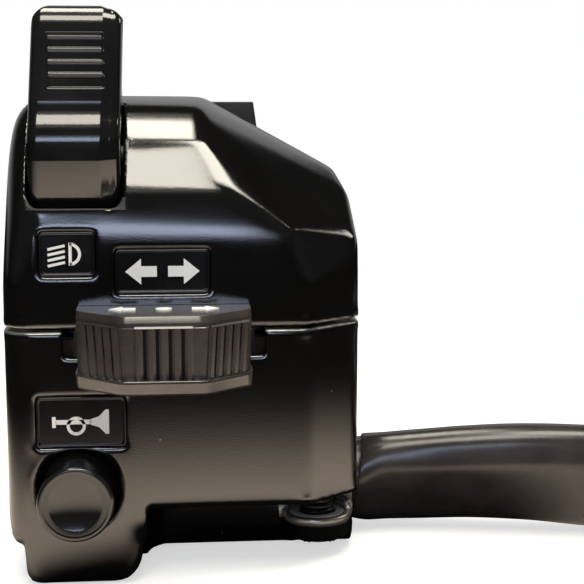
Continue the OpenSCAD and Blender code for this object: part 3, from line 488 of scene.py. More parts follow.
def build_peel(n, given):
    """Height of sprayed or moulded texture and a slow change of gloss."""
    fine = n.noise(given["Vector"], given["Scale"], detail=2.0, roughness=0.6)
    rough = given["Roughness"]
    for change in (n.noise(given["Vector"], scale=140.0, detail=3.0, roughness=0.55), fine):
        rough = n.math("MULTIPLY_ADD", n.math("SUBTRACT", change, 0.5), given["Change"], rough)
    return {"Height": fine, "Roughness": rough}


def build_rubbed_highlight(n, given):
    """Mask of rubbed paint in a thin band of heights, broken up by noise; the bare band is wear and also a
    painted highlight.
    """
    away = n.math("ABSOLUTE", n.math("SUBTRACT", n.parts(given["Vector"])["Z"], given["Height"]))
    band = n.ramp(away, given["Width"], 0.0)
    patchy = n.ramp(n.noise(given["Vector"], scale=260.0, detail=4.0, roughness=0.6), 0.32, 0.62)
    return {"Mask": n.math("MULTIPLY", band, patchy, clamp=True)}


def build_seat(n, given):
    """Mask of the turned ring round a screw, and the fine rings that the tool left on it."""
    part = n.parts(n.vector("SUBTRACT", given["Vector"], given["Centre"])[0])
    squares = [n.math("POWER", part[axis], 2.0) for axis in "XY"]
    away = n.math("SQRT", n.math("ADD", *squares))
    inside = n.math("LESS_THAN", away, given["Radius"])
    level = n.ramp(n.math("ABSOLUTE", part["Z"]), given["Depth"], 0.0)
    turned = n.math("SINE", n.math("MULTIPLY", away, TOOL_RINGS))
    return {"Mask": n.math("MULTIPLY", inside, level), "Lines": turned}


def build_box(n, given):
    """Mask of what lies inside a box, with a soft border."""
    part = n.vector("SUBTRACT", given["Vector"], given["Centre"])[0]
    part = n.vector("DIVIDE", part, given["Half"])[0]
    part = n.parts(n.vector("ABSOLUTE", part)[0])
    most = n.math("MAXIMUM", part["X"], n.math("MAXIMUM", part["Y"], part["Z"]))
    return {"Mask": n.ramp(most, 1.0, 0.85)}


# Radians per metre of the turned rings, the middle of the screw's seat, and the dull edge of the lever's slot
TOOL_RINGS = 40000.0
SCREW_SEAT = (0.0198, -0.0145, -0.0295)
SLOT_EDGE = {"Centre": (-0.01405, -0.0252, 0.0171), "Half": (0.0071, 0.0012, 0.0009)}
# Heights at which the two halves' paint is rubbed bare: wear, and also a painted highlight along the parting
# edge
PAINTS = {"upper_paint": 0.00035, "lower_paint": -0.00035}
PAINT_DUST = (0.2, 0.18, 0.16)
PAINT_DARK, PAINT_PALE = 0.75, 1.35
# Moulded finishes: colour setting and share of it, roughness and its change, scale of the texture, its depth
# in micrometres, and what differs from the usual
MOULDED = {
    "gloss_plastic": ("gloss", 1.0, 0.11, 0.06, 4200.0, 10, {"dust": 0.95, "Specular_IOR_Level": 0.9}),
    "knob_plastic": ("knob", 1.0, 0.22, 0.16, 3800.0, 14, {"dust": 0.92, "IOR": 1.8}),
    # A very dark copy of the knob's finish for the sheets between its ribs: painted shade of the grooves
    "knob_groove": ("knob", 0.12, 0.6, 0.16, 3800.0, 20, {"dust": 0.97, "Specular_IOR_Level": 0.12}),
    "bare_seat": ("bare", 0.8, 0.5, 0.2, 1500.0, 20, {"dust": 1.1}),
    "trigger_plastic": ("trigger", 1.0, 0.45, 0.2, 2600.0, 20, {}),
    "label_plastic": ("label", 1.0, 0.13, 0.1, 2000.0, 10, {"dust": 0.93}),
    "label_mark": ("mark", 1.0, 0.45, 0.1, 3000.0, 10, {"dust": 1.1, "stain": 0.05}),
    "rubber": ("rubber", 1.0, 0.6, 0.2, 1800.0, 30, {}),
    "pvc_sleeve": ("sleeve", 1.0, 0.21, 0.1, 1100.0, 20, {"dust": 0.97, "Specular_IOR_Level": 0.55}),
    "nylon_tie": ("nylon", 1.0, 0.4, 0.15, 1500.0, 20, {}),
    "connector_plastic": ("plug", 1.0, 0.42, 0.12, 1500.0, 20, {"dust": 1.1, "stain": 0.06}),
    "phenolic": ("phenolic", 1.0, 0.45, 0.2, 1600.0, 30, {}),
}
# Metal finishes: colour setting and roughness
METALS = {"steel": ("steel", 0.32), "black_screw": ("black_steel", 0.42), "brass": ("brass", 0.34)}
METAL_LINES = (900.0, 900.0, 900.0)
WIRE_COLOURS = {"green": (0.03, 0.2, 0.06), "orange": (0.55, 0.16, 0.02), "blue": (0.03, 0.07, 0.4),
                "white": (0.6, 0.6, 0.58), "brown": (0.13, 0.05, 0.02), "grey": (0.22, 0.22, 0.23)}
MADE = {}


def finish(name):
    return MADE[name]


class Finishes:
    """Makes every material of the cluster once."""

    def __init__(self, colours):
        self.specks = group("dust_specks", build_specks, ["Mask"], Scale=400.0, Size=0.08, Rarity=0.9)
        self.peel = group("surface_peel", build_peel, ["Height", "Roughness"], Scale=2500.0, Roughness=0.3,
                          Change=0.1)
        self.rub = group("rubbed_band", build_rubbed_highlight, ["Mask"], Height=0.0, Width=0.0004)
        self.seat = group("turned_seat", build_seat, ["Mask", "Lines"], Centre=(0, 0, 0), Radius=0.005,
                          Depth=0.0003)
        self.box = group("soft_box", build_box, ["Mask"], Centre=(0, 0, 0), Half=(0.001, 0.001, 0.001))
        for name, height in PAINTS.items():
            self.paint(name, height, colours)
        for name, (key, share, roughness, change, scale, depth, more) in MOULDED.items():
            tint = [v * share for v in getattr(colours, key)]
            self.moulded(name, tint, roughness, change, scale, depth / 1e6, **more)
        for name, (key, roughness) in METALS.items():
            self.metal(name, getattr(colours, key), roughness)
        for name, tint in WIRE_COLOURS.items():
            self.moulded("wire_" + name, tint, 0.35, 0.15, 1500.0, 0.00001, dust=1.1, stain=0.12)

    def start(self, name, **constants):
        """New material with a Principled shader whose constant values are set on it."""
        MADE[name] = bpy.data.materials.new(name)
        n = empty_tree(MADE[name])
        shader = n.add("ShaderNodeBsdfPrincipled")
        for key, value in constants.items():
            shader.inputs[key.replace("_", " ")].default_value = value
        n.add("ShaderNodeOutputMaterial", {"Surface": shader.outputs[0]})
        return n, shader.inputs, n.place()

    def moulded(self, name, tint, roughness, change, scale, depth, dust=0.9, stain=0.35, **constants):
        """Plain moulded, sprayed or drawn surface with texture, slow colour change and dust."""
        n, sockets, spot = self.start(name, **constants)
        peel = n.use(self.peel, Vector=spot, Scale=scale, Roughness=roughness, Change=change)
        mask = n.use(self.specks, Vector=spot, Scale=420.0, Size=0.07, Rarity=dust)["Mask"]
        slow = n.ramp(n.noise(spot, scale=90.0, detail=4.0, roughness=0.6), 0.3, 0.75)
        pale = [min(1.0, c * (1 + stain)) for c in tint]
        base = n.mix(slow, rgba(tint, 1 - stain), rgba(pale))
        dusty = [0.5 * c + 0.12 for c in tint]
        n.set(sockets["Base Color"], n.mix(mask, base, rgba(dusty)))
        n.set(sockets["Roughness"], n.math("MULTIPLY_ADD", mask, 0.3, peel["Roughness"], clamp=True))
        n.bump(sockets, peel["Height"], strength=0.5, depth=depth)

    def paint(self, name, rubbed_highlight_height, colours):
        """Black paint on cast metal, rubbed at the parting edge as wear and as a painted highlight, and
        turned bare round a screw.
        """
        n, sockets, spot = self.start(name, IOR=1.88)
        peel = n.use(self.peel, Vector=spot, Scale=5200.0, Roughness=0.09, Change=0.06)
        specks = n.use(self.specks, Vector=spot, Scale=330.0, Size=0.075, Rarity=0.86)["Mask"]
        # Bare band along the parting edge: rubbed paint, and a painted highlight of that edge
        rubbed_and_highlight = n.use(self.rub, Vector=spot, Height=rubbed_highlight_height, Width=0.00032)["Mask"]
        seat = n.use(self.seat, Vector=spot, Centre=SCREW_SEAT, Radius=0.0056, Depth=0.0012)
        bare = n.math("MAXIMUM", n.math("MULTIPLY", rubbed_and_highlight, 0.6), seat["Mask"])
        slow = n.ramp(n.noise(spot, scale=70.0, detail=3.0, roughness=0.55), 0.3, 0.75)
        paint = n.mix(slow, rgba(colours.paint, PAINT_DARK), rgba(colours.paint, PAINT_PALE))
        paint = n.mix(specks, paint, rgba(PAINT_DUST))
        n.set(sockets["Base Color"], n.mix(bare, paint, rgba(colours.bare)))
        n.set(sockets["Metallic"], bare)
        edge = n.use(self.box, Vector=spot, **SLOT_EDGE)["Mask"]
        worn = n.math("MAXIMUM", n.math("MAXIMUM", bare, specks), n.math("MULTIPLY", edge, 2.0))
        n.set(sockets["Roughness"], n.math("MULTIPLY_ADD", worn, 0.3, peel["Roughness"], clamp=True))
        lines = n.math("MULTIPLY", seat["Lines"], seat["Mask"])
        height = n.math("MULTIPLY_ADD", lines, 0.4, peel["Height"])
        n.bump(sockets, n.math("ADD", height, specks), strength=0.3, depth=0.00003)

    def metal(self, name, tint, roughness):
        """Drawn or pressed metal with fine lines and tarnish."""
        n, sockets, spot = self.start(name, Metallic=1.0)
        stretched = n.add("ShaderNodeMapping", {"Vector": spot, "Scale": METAL_LINES}).outputs[0]
        lines = n.noise(stretched, scale=1.0, detail=3.0, roughness=0.6)
        tarnish = n.ramp(n.noise(spot, scale=300.0, detail=4.0, roughness=0.6), 0.42, 0.7)
        n.set(sockets["Base Color"], n.mix(tarnish, rgba(tint), rgba(tint, 0.62)))
        n.set(sockets["Roughness"], n.math("MULTIPLY_ADD", lines, 0.2, roughness - 0.1))
        n.bump(sockets, lines, strength=0.3, depth=0.00001)


# Stage

PICTURE_PX, SENSOR_WIDTH = 584, 36
# Floor: half its side, the middle of the pool of light painted on it, and the distances over which the
# painted pool starts, ends and the shade of the object fades
FLOOR_HALF, POOL_X, POOL_Y = 1.6, 0.012, 0.0
POOL_START, POOL_END, SHADE_FADE = (0.04, 0.056), (0.16, 0.06), (0.08, 0.24)
# Strips that the roll mirrors: height angle, half of the angle they fill, share of the glow
STRIPS = {"strip_high": (99, 12.5, 1.0), "strip_front": (52.7, 11.2, 0.85)}
STRIP_MIDDLE, STRIP_SHIFT, STRIP_WIDE = Vector((-0.004, -0.009, 0.014)), Vector((-0.03, 0, 0)), 0.13
CORE_REACH, HALO_REACH, HALO_MORE = 0.30, 0.33, 9
# Other lights: place, target, width, height, glow setting and share of it, colour setting
PANELS = {
    "front_low": ((-0.0185, -0.176, 0.0245), (-0.0185, 0, 0.0245), 0.079, 0.027, "cool_glow", 1.0, "cool"),
    "front_veil": ((-0.0185, -0.18, 0.034), (-0.0185, 0, 0.034), 0.079, 0.038, "cool_glow", 0.25, "cool"),
    "loom_top": ((0.08, -0.1, 0.28), (0.045, -0.008, -0.02), 0.12, 0.12, "strip_glow", 1.1, "warm"),
    "side_spot": ((0.26, 0.07, 0.155), (0.021, -0.018, 0.012), 0.09, 0.07, "strip_glow", 0.45, "warm"),
    "back_fill": ((0.1, 0.6, 0.35), STRIP_MIDDLE, 0.5, 0.3, "back_glow", 1.0, "plain"),
}
# What gloss mirrors of the world: the glow low behind, in front and everywhere
GLOW_BEHIND, GLOW_FRONT, GLOW_LEAST = 0.4, 0.04, 0.015


class CLUSTER_OT_stage(bpy.types.Operator):
    """Makes the camera, the floor, the lights and the finishes"""
    bl_idname = "cluster.stage"
    bl_label = "Stage and finishes"

    def execute(self, context):
        scene = context.scene
        stage = scene.cluster_stage
        Finishes(scene.cluster_colours)
        self.camera(scene, stage)
        self.floor(stage)
        self.lights(stage)
        self.world(scene, stage)
        scene.view_settings.view_transform = "Standard"
        return {"FINISHED"}

    def camera(self, scene, stage):
        data = bpy.data.cameras.new("camera")
        data.sensor_width = SENSOR_WIDTH
        data.lens = data.sensor_width * stage.focal_px / PICTURE_PX
        data.clip_start = 0.01
        data.clip_end = 20
        level = math.cos(stage.elevation)
        back = Vector((math.sin(stage.azimuth) * level, -math.cos(stage.azimuth) * level,
                       math.sin(stage.elevation)))
        obj = link(bpy.data.objects.new("camera", data))
        obj.location = Vector(stage.aim) + stage.distance * back
        obj.rotation_euler = (-back).to_track_quat("-Z", "Y").to_euler()
        scene.camera = obj

    def floor(self, stage):
        """Pale floor that lights the object from below with a painted pool of light, which glows, and is
        painted dark near the object as a shadow and dark again far off; to the camera it is white with a soft
        shade.
        """
        level = CAD_BOX[0][2]
        corners = [(x * FLOOR_HALF, y * FLOOR_HALF, level) for x, y in ((-1, -1), (1, -1), (1, 1), (-1, 1))]
        floor = mesh_object("floor", corners, [(0, 1, 2, 3)])
        material = bpy.data.materials.new("floor")
        n = empty_tree(material)
        spot = n.place()

        def shader(kind, **inputs):
            return n.add("ShaderNode" + kind, inputs).outputs[0]

        def both(first, second):
            return n.add("ShaderNodeAddShader", {0: first, 1: second}).outputs[0]

        def either(factor, first, second):
            return n.add("ShaderNodeMixShader", {0: factor, 1: first, 2: second}).outputs[0]

        away = n.vector("DISTANCE", spot, (POOL_X, POOL_Y, level))["Value"]
        # Painted pool of light: a ring round the object where the floor glows and is pale; inside the ring
        # the floor is painted dark as a shadow under the object, and outside it is painted dark again far off
        painted_pool = n.math("MULTIPLY", n.ramp(away, *POOL_START), n.math("POWER", n.ramp(away, *POOL_END), 2.0))
        grain = n.ramp(n.noise(spot, scale=60.0, detail=4.0, roughness=0.6), 0.2, 0.8)
        tone = n.mix(grain, rgba(stage.floor_colour, 0.97), rgba(stage.floor_colour))
        painted_pool_floor = both(shader("BsdfDiffuse", Color=n.mix(painted_pool, (0.02, 0.02, 0.02, 1), tone)),
                    shader("Emission", Color=tone, Strength=n.math("MULTIPLY", painted_pool, stage.painted_pool_glow)))
        shaded = both(shader("BsdfDiffuse", Color=(0.7, 0.7, 0.7, 1)),
                      shader("Emission", Color=(1, 1, 1, 1), Strength=0.6))
        white = shader("Emission", Color=(1, 1, 1, 1), Strength=1.0)
        seen = either(n.ramp(away, *SHADE_FADE), shaded, white)
        path = n.add("ShaderNodeLightPath").outputs
        n.add("ShaderNodeOutputMaterial", {"Surface": either(path["Is Camera Ray"], painted_pool_floor, seen)})
        floor.data.materials.append(material)

    def panel(self, name, place, target, wide, tall, glow, tint):
        """Area light: glow is its radiance, so its power grows with its size."""
        data = bpy.data.lights.new(name, "AREA")
        data.shape = "RECTANGLE"
        data.size = wide
        data.size_y = tall
        data.energy = glow * math.pi * wide * tall
        data.color = tint
        obj = link(bpy.data.objects.new(name, data))
        obj.location = place
        aim = Vector(target) - Vector(place)
        obj.rotation_euler = aim.to_track_quat("-Z", "Y").to_euler()
        obj.visible_camera = False

    def lights(self, stage):
        target = STRIP_MIDDLE + STRIP_SHIFT
        for name, (elevation, half, share) in STRIPS.items():
            turn = math.radians(elevation)
            way = Vector((0, -math.cos(turn), math.sin(turn)))
            for part, reach, spread, glow in (("_core", CORE_REACH, half, stage.strip_glow),
                                              ("_halo", HALO_REACH, half + HALO_MORE, stage.halo_glow)):
                tall = 2 * reach * math.tan(math.radians(spread))
                place = STRIP_MIDDLE + reach * way + STRIP_SHIFT
                self.panel(name + part, place, target, STRIP_WIDE, tall, glow * share, stage.warm)
        for name, (place, target, wide, tall, glow, share, tint) in PANELS.items():
            self.panel(name, place, target, wide, tall, getattr(stage, glow) * share, getattr(stage, tint))

    def world(self, scene, stage):
        """White to the camera; to gloss, white low behind and dark in front and above."""
        world = bpy.data.worlds.new("studio")
        n = empty_tree(world)
        way = n.parts(n.place("Generated"))
        low_behind = n.math("MULTIPLY", n.ramp(way["Y"], 0.25, 0.8), n.ramp(way["Z"], 0.35, 0.03))
        front = n.math("MULTIPLY_ADD", n.ramp(way["Y"], 0.2, -0.5), GLOW_FRONT, GLOW_LEAST)
        glow = n.math("MULTIPLY_ADD", low_behind, GLOW_BEHIND, front)
        path = n.add("ShaderNodeLightPath").outputs
        mirrored = n.math("MAXIMUM", path["Is Glossy Ray"], path["Is Transmission Ray"])
        level = n.choose(mirrored, stage.ambient, glow)
        level = n.choose(path["Is Camera Ray"], level, 1.0)
        sky = n.add("ShaderNodeBackground", {"Color": (1, 1, 1, 1), "Strength": level})
        n.add("ShaderNodeOutputWorld", {"Surface": sky.outputs[0]})
        scene.world = world


class PieceMaker:
    """What the operators that make pieces share: each has a build() that is given the sizes."""

    def execute(self, context):
        self.build(context.scene.cluster_sizes)
        return {"FINISHED"}


# Loom, in millimetres

LOOM_ROUTE = [(9, -3, -27.5), (17, -3, -27.5), (25.5, -3, -27.5), (28.5, -3.2, -27.7), (36, -4.4, -27.2),
              (45, -6.2, -26.5), (54, -8, -26.3), (64, -10, -26.7), (78, -12.5, -27.3), (95, -14, -27.7),
              (114, -14, -27.7), (134, -14, -27.7)]
# At each point of the route: how far the sleeve is flattened, and how far it is drawn in to its neck
LOOM_FLAT = [0, 0, 0, 0, 0.1, 0.3, 0.6, 1, 0.6, 0, 0, 0]
LOOM_NECK = [1, 1, 1, 0.25, 0, 0, 0, 0, 0, 0, 0, 0]
NECK_R, SLEEVE_THIN, SLEEVE_TALL, SLEEVE_SIDES = 5.8, 5.6, 17.2, 96
# Where the sleeve is pressed beside the body: half its width, gain in height and how much less of it where
# the sleeve is flat, lean towards the rider in degrees, and the stretches over which this begins and ends
PRESSED_WIDE, PRESSED_GAIN, FLAT_LOSS, PRESSED_LEAN = 4.9, 0.13, 0.6, 21.0
PRESS_START, PRESS_END = (15, 23), (75, 105)
# The flat along the sleeve: where it begins and ends, its side in degrees with sway, wave and lag, how crisp
# its borders are, and the slow swells of the sleeve as size, wave and lag
FOLD_START, FOLD_END = (19, 34), (120, 150)
CREST, CREST_SWAY, CREST_WAVE, CREST_LAG, CRISP = 50, 5, 9.5, 0.7, 60
SWELLS = ((0.1, 5.3, 0.0), (0.08, 11.0, 1.0))
COIL_CENTRE, COIL_R, COIL_PITCH, COIL_STEPS = (147.6, 52.0, -27.7), 66.0, 14.8, 240
TAIL_R, TAIL_LEAD, WIRE_PITCH, WIRES_ABREAST = 16.0, 2.0, 2.6, 3


def coil_point(degrees):
    """Place on the coil, counted from where the lead runs into it."""
    reach = COIL_R - COIL_PITCH * degrees / 360
    turn = math.radians(degrees - 90)
    return np.array((COIL_CENTRE[0] + reach * math.cos(turn), COIL_CENTRE[1] + reach * math.sin(turn),
                     COIL_CENTRE[2]))


class CLUSTER_OT_loom(PieceMaker, bpy.types.Operator):
    """Makes the sleeve with its coil, the bare wires, the tie and the plug"""
    bl_idname = "cluster.loom"
    bl_label = "Loom"

    def build(self, sizes):
        self.radius = sizes.sleeve_diameter / MM / 2
        self.stop = coil_point(360.0) + np.array((2 * self.radius, 0, 0))
        sleeve, path = self.sleeve(sizes)
        wires = self.wires(sizes)
        tie = soft_skin("coil_tie", "loom_tie", sizes.fine_grain, 4)
        plug = soft_skin("loom_connector", "loom_plug", sizes.fine_grain, 6)
        finish_piece(sleeve, BODY, "pvc_sleeve", "loom_lead", "loom_coil")
        finish_piece(wires, BODY, "wire_insulation", "loom_wires")
        finish_piece(tie, BODY, "nylon_tie", "loom_tie")
        finish_piece(plug, BODY, "connector_plastic", "loom_plug")

    def sleeve(self, sizes):
        lead = spline(LOOM_ROUTE, 8)
        coil = [coil_point(degrees) for degrees in np.linspace(0, 360, COIL_STEPS + 1)]
        bridge = [lead[-1] + (coil[0] - lead[-1]) * t for t in (0.25, 0.5, 0.75)]
        tail = [coil[-1] + (self.stop - coil[-1]) * t for t in (0.2, 0.4, 0.6, 0.8, 1.0)]
        path = np.array(list(lead) + bridge + coil + tail)
        run = distance_along(path)
        spans = np.linspace(0, len(LOOM_ROUTE) - 1, len(lead))
        flat, neck = [np.append(np.interp(spans, range(len(shares)), shares), np.zeros(len(path) - len(lead)))
                      for shares in (LOOM_FLAT, LOOM_NECK)]
        depth = sizes.sleeve_flat / MM

        def outline(i):
            wide = self.radius + (SLEEVE_THIN - self.radius) * flat[i]
            tall = self.radius + (SLEEVE_TALL / 2 - self.radius) * flat[i]
            wide += (NECK_R - wide) * neck[i]
            tall += (NECK_R - tall) * neck[i]
            press = between(PRESS_START, PRESS_END, run[i])
            wide -= (wide - PRESSED_WIDE) * press
            tall *= 1 + PRESSED_GAIN * press * (1 - FLAT_LOSS * flat[i])
            lean = math.radians(PRESSED_LEAN) * press
            fold = between(FOLD_START, FOLD_END, run[i])
            swell = sum(size * math.sin(run[i] / wave + lag) for size, wave, lag in SWELLS)
            crest = math.radians(CREST + CREST_SWAY * math.sin(run[i] / CREST_WAVE + CREST_LAG))
            ring = []
            for k in range(SLEEVE_SIDES):
                turn = 2 * math.pi * k / SLEEVE_SIDES
                reach = 1 / max(0.5, math.cos(turn - crest))
                cut = math.log(1 + math.exp(CRISP * (1 - reach * (1 - depth / self.radius)))) / CRISP
                less = fold * (cut * self.radius - 0.5 * swell)
                front, up = (wide - less) * math.cos(turn), (tall - less) * math.sin(turn)
                ring.append((front * math.cos(lean) + up * math.sin(lean),
                             up * math.cos(lean) - front * math.sin(lean)))
            return ring

        points, faces = skin(tube_rings(path, outline))
        return mesh_object("loom_sleeve", np.array(points) * MM, faces), path

    def wires(self, sizes):
        """Bare wires in two layers that bend away from the sleeve's end to the plug."""
        circle = arc((0, 0), sizes.wire_diameter / MM / 2, 0, 342, 19)
        lead = np.array((TAIL_LEAD, 0, 0))
        made = []
        for k, name in enumerate(WIRE_COLOURS):
            side = (k % WIRES_ABREAST - 1) * WIRE_PITCH
            lift = (k // WIRES_ABREAST - 0.5) * WIRE_PITCH
            centre = self.stop + lead + np.array((0, TAIL_R, lift))
            bend = [centre + np.array((x, y, 0)) for x, y in arc((0, 0), TAIL_R - side, -90, 0, 24)]
            path = [bend[0] - lead] + bend + [bend[-1] + np.array((0, TAIL_LEAD, 0))]
            points, faces = skin(tube_rings(path, lambda i: circle))
            made.append(mesh_object("wire_" + name, np.array(points) * MM, faces, material="wire_" + name))
        return join("loom_leads", made)


# Cast halves, in millimetres

# Turned ring in the front lug: its place, its inner and outer radius, its heights and its bevel
SEAT_X, SEAT_Y, SEAT_INNER, SEAT_OUTER = 19.8, -14.5, 2.85, 3.95
SEAT_LOW, SEAT_HIGH, SEAT_BEVEL = -29.9, -29.35, 0.08


class CLUSTER_OT_halves(PieceMaker, bpy.types.Operator):
    """Makes the two painted cast halves"""
    bl_idname = "cluster.halves"
    bl_label = "Cast halves"

    def build(self, sizes):
        for side in ("upper", "lower"):
            name, node = side + "_half", side + "_housing"
            half = soft_skin(name, node, sizes.cast_grain, 50, soften=5)
            half.data.materials.append(finish(side + "_paint"))
            if side == "lower":
                half = join(name, [half, self.seat()])
            finish_piece(half, BODY, "painted_cast", node)

    def seat(self):
        """Flat turned ring in the pocket of the front lug."""
        section = ((SEAT_INNER, SEAT_LOW), (SEAT_OUTER, SEAT_LOW), (SEAT_OUTER, SEAT_HIGH - SEAT_BEVEL),
                   (SEAT_OUTER - SEAT_BEVEL, SEAT_HIGH), (SEAT_INNER + SEAT_BEVEL, SEAT_HIGH),
                   (SEAT_INNER, SEAT_HIGH - SEAT_BEVEL))
        rings = [[np.array((SEAT_X + r * math.cos(turn), SEAT_Y + r * math.sin(turn), z)) * MM
                  for r, z in section] for turn in np.linspace(0, 2 * math.pi, 64, endpoint=False)]
        ring = mesh_object("turned_seat", *skin(rings, closed=True), material="bare_seat")
        ring.data.set_sharp_from_angle(angle=math.radians(30))
        return ring


# Beam lever, in millimetres from its pivot

PIVOT_Y, PIVOT_Z = -18.7, 23.2
LEVER_X, LEVER_HALF = -14.05, 6.15
DRUM_R, REACH, FACE, BACK = 9.2, 20.1, 7.5, -0.3
TOP_R, BROW_R, LEAN = 2.1, 3.0, 0.95
# The paddle narrows on the left and widens on the right above this height, but not behind the drum, over
# these degrees round the pivot
PADDLE_FROM, PADDLE_TAPER, PADDLE_TILT, BEHIND = 1.9, 1.0, 0.6, (60, 90)
TIP_ROUND, TIP_ROUND_RIGHT, DRUM_END, DRUM_ROUND = 1.2, 1.0, -7.2, 1.6
# Front of the drum from the paddle down: centre, radius and angles of each arc
DRUM_FRONT = (((-12.5, 7.5), 5.0, 0, -28.5), ((-3.185, 2.442), 5.6, 151.5, 183.5),
              ((24.164, 4.115), 33.0, 183.5, 187.5), ((-7.761, -0.088), 0.8, 187.5, 202),
              ((28.585, 14.597), 40.0, 202, 213))
DRUM_START, ARC_STEPS, DRUM_STEPS, LEVER_STEP = 250, 24, 160, 0.08
# Slope beside the right rounding, and the stretch over which it begins
SLOPE, SLOPE_EASE = 0.3, 0.25
# Thumb pad: its borders, how far these reach out and in, heights of its ridges and half their width
PAD_X, PAD_Z, PAD_OUT, PAD_IN = (-17.2, -9.9), (32.4, 39.6), 0.08, 0.12
PAD_RIDGES, RIDGE_HALF = (34.19, 35.84, 37.47, 39.1), 0.24


class CLUSTER_OT_lever(PieceMaker, bpy.types.Operator):
    """Makes the beam lever: drum, hollow sweep, paddle and ridged thumb pad"""
    bl_idname = "cluster.lever"
    bl_label = "Beam lever"

    def profile(self):
        """Side outline as (y, z) from the pivot."""
        line = [(BACK, math.sqrt(DRUM_R ** 2 - BACK ** 2))]
        line += arc((BACK - TOP_R, REACH - TOP_R), TOP_R, 0, 90, ARC_STEPS)
        line += arc((-FACE + LEAN + BROW_R, REACH - BROW_R), BROW_R, 90, 180, ARC_STEPS)
        for centre, radius, start, end in DRUM_FRONT:
            line += arc(centre, radius, start, end, ARC_STEPS)
        close = 360 + math.degrees(math.atan2(line[0][1], line[0][0]))
        line += arc((0, 0), DRUM_R, DRUM_START, close, DRUM_STEPS)
        return resample(line, LEVER_STEP)[:-1]

    def corner(self, past, radius):
        """How far a rounded corner has drawn in, past millimetres into its arc."""
        return radius - np.sqrt(radius ** 2 - np.clip(past, 0, 0.98 * radius) ** 2)

    def sides(self, side):
        """Left and right end of the lever at each point of its side outline."""
        height = side[:, 1]
        climb = np.clip((height - PADDLE_FROM) / (REACH - PADDLE_FROM), 0, 1)
        degrees = np.degrees(np.arctan2(side[:, 1], side[:, 0]))
        on_drum = np.hypot(side[:, 0], side[:, 1]) < DRUM_R + 0.02
        climb *= np.where(on_drum, smooth_step(*BEHIND, degrees), 1.0)
        foot = self.corner(DRUM_END + DRUM_ROUND - height, DRUM_ROUND)
        left_tip = self.corner(height - REACH + TIP_ROUND, TIP_ROUND)
        right_tip = self.corner(height - REACH + TIP_ROUND_RIGHT, TIP_ROUND_RIGHT)
        return (LEVER_X - LEVER_HALF + PADDLE_TAPER * climb + foot + left_tip,
                LEVER_X + LEVER_HALF + PADDLE_TILT * climb - foot - right_tip)

    def inset(self, s, left, right, strip):
        """How far the section s millimetres from the left end has drawn in."""
        if s < left:
            return left - math.sqrt(max(0.0, left ** 2 - (left - s) ** 2))
        past = s - (2 * LEVER_HALF - right - strip)
        if past <= 0:
            return 0.0
        drawn = SLOPE * min(past, strip) * min(1.0, past / SLOPE_EASE)
        past -= strip
        if past > 0:
            drawn += (right - math.sqrt(max(0.0, right ** 2 - past ** 2))) * (1 - SLOPE * strip / right * 0.5)
        return drawn

    def build(self, sizes):
        left, right = sizes.lever_left_round / MM, sizes.lever_right_round / MM
        strip = sizes.lever_strip / MM
        pad, ridge = sizes.pad_depth / MM, sizes.pad_ridge / MM
        side = self.profile()
        ahead = np.roll(side, -1, 0) - np.roll(side, 1, 0)
        ahead /= np.linalg.norm(ahead, axis=1)[:, None]
        inward = np.stack([-ahead[:, 1], ahead[:, 0]], axis=1)
        for _ in range(2):
            inward = (np.roll(inward, 1, 0) + inward + np.roll(inward, -1, 0)) / 3
        low_x, high_x = self.sides(side)
        front = side[:, 0] < LEAN - FACE + 0.3
        span = 2 * LEVER_HALF
        quarter = np.linspace(0, math.pi / 2, 12)
        stations = np.unique(np.round(np.concatenate([
            left * (1 - np.cos(quarter)), np.linspace(left, span - right - strip, 60),
            np.linspace(span - right - strip, span - right, 8), span - right * (1 - np.sin(quarter))]), 4))
        rings = []
        for s in stations:
            x = low_x + (high_x - low_x) * s / span
            at = side + inward * self.inset(s, left, right, strip)
            z = at[:, 1] + PIVOT_Z
            within = front
            for value, (low, high) in ((x, PAD_X), (z, PAD_Z)):
                within = within * smooth_step(low - PAD_OUT, low + PAD_IN, value)
                within = within * smooth_step(high + PAD_OUT, high - PAD_IN, value)
            rise = np.zeros(len(z))
            for middle in PAD_RIDGES:
                arch = np.sqrt(np.maximum(0.0, 1 - ((z - middle) / RIDGE_HALF) ** 2))
                rise = np.maximum(rise, ridge * arch)
            y = at[:, 0] + within * (pad - rise)
            rings.append(np.stack([x, y + PIVOT_Y, z], axis=1) * MM)
        lever = mesh_object("beam_lever", *skin(rings))
        finish_piece(lever, "beam_lever", "gloss_plastic", "dimmer_lever")


# Turn knob, in millimetres

KNOB_X, KNOB_HALF, KNOB_MID, KNOB_FRONT, KNOB_SIDE, FACE_Y = -2.3, 11.65, 5.5, -36.2, -30.7, -26.0
KNOB_TOP, KNOB_LOW, KNOB_RISE, KNOB_DROP, KNOB_WALL = 1.85, -5.05, 1.5, 2.1, 0.85
# Floor between the ribs: how far out it is at the top and at the bottom, and how far the sheet of painted
# shade on it stands out
ZONE_TOP, ZONE_LOW, ZONE_LAYER = 0.1, -0.5, 0.06
# Free ends of each facet before its first rib and after its last, and how far the floor with its sheet of
# painted shade goes past these ribs
RIB_MARGINS, RIB_PAST = ((1.45, 0.95), (2.22, 2.22), (0.95, 1.45)), 0.45
NECK_X, NECK_Y, NECK_Z = (-9.9, 9.9), (-27.3, -23.1), (-3.5, -0.55)
# Marks on the knob's top: their line, how far they reach in and out, size of the dot
MARK_Y, MARK_IN, MARK_OUT, DOT_R = -30.5, 0.1, 0.2, 1.1
GEOMETRY = "NodeSocketGeometry"
RIB_INPUTS = {"Geometry": GEOMETRY, "Count": "NodeSocketInt", "First": VECTOR, "Step": VECTOR, "Turn": FLOAT,
              "Lean": FLOAT, "Width": FLOAT, "Depth": FLOAT, "Height": FLOAT,
              "Material": "NodeSocketMaterial"}
RIB_SIDES = 8


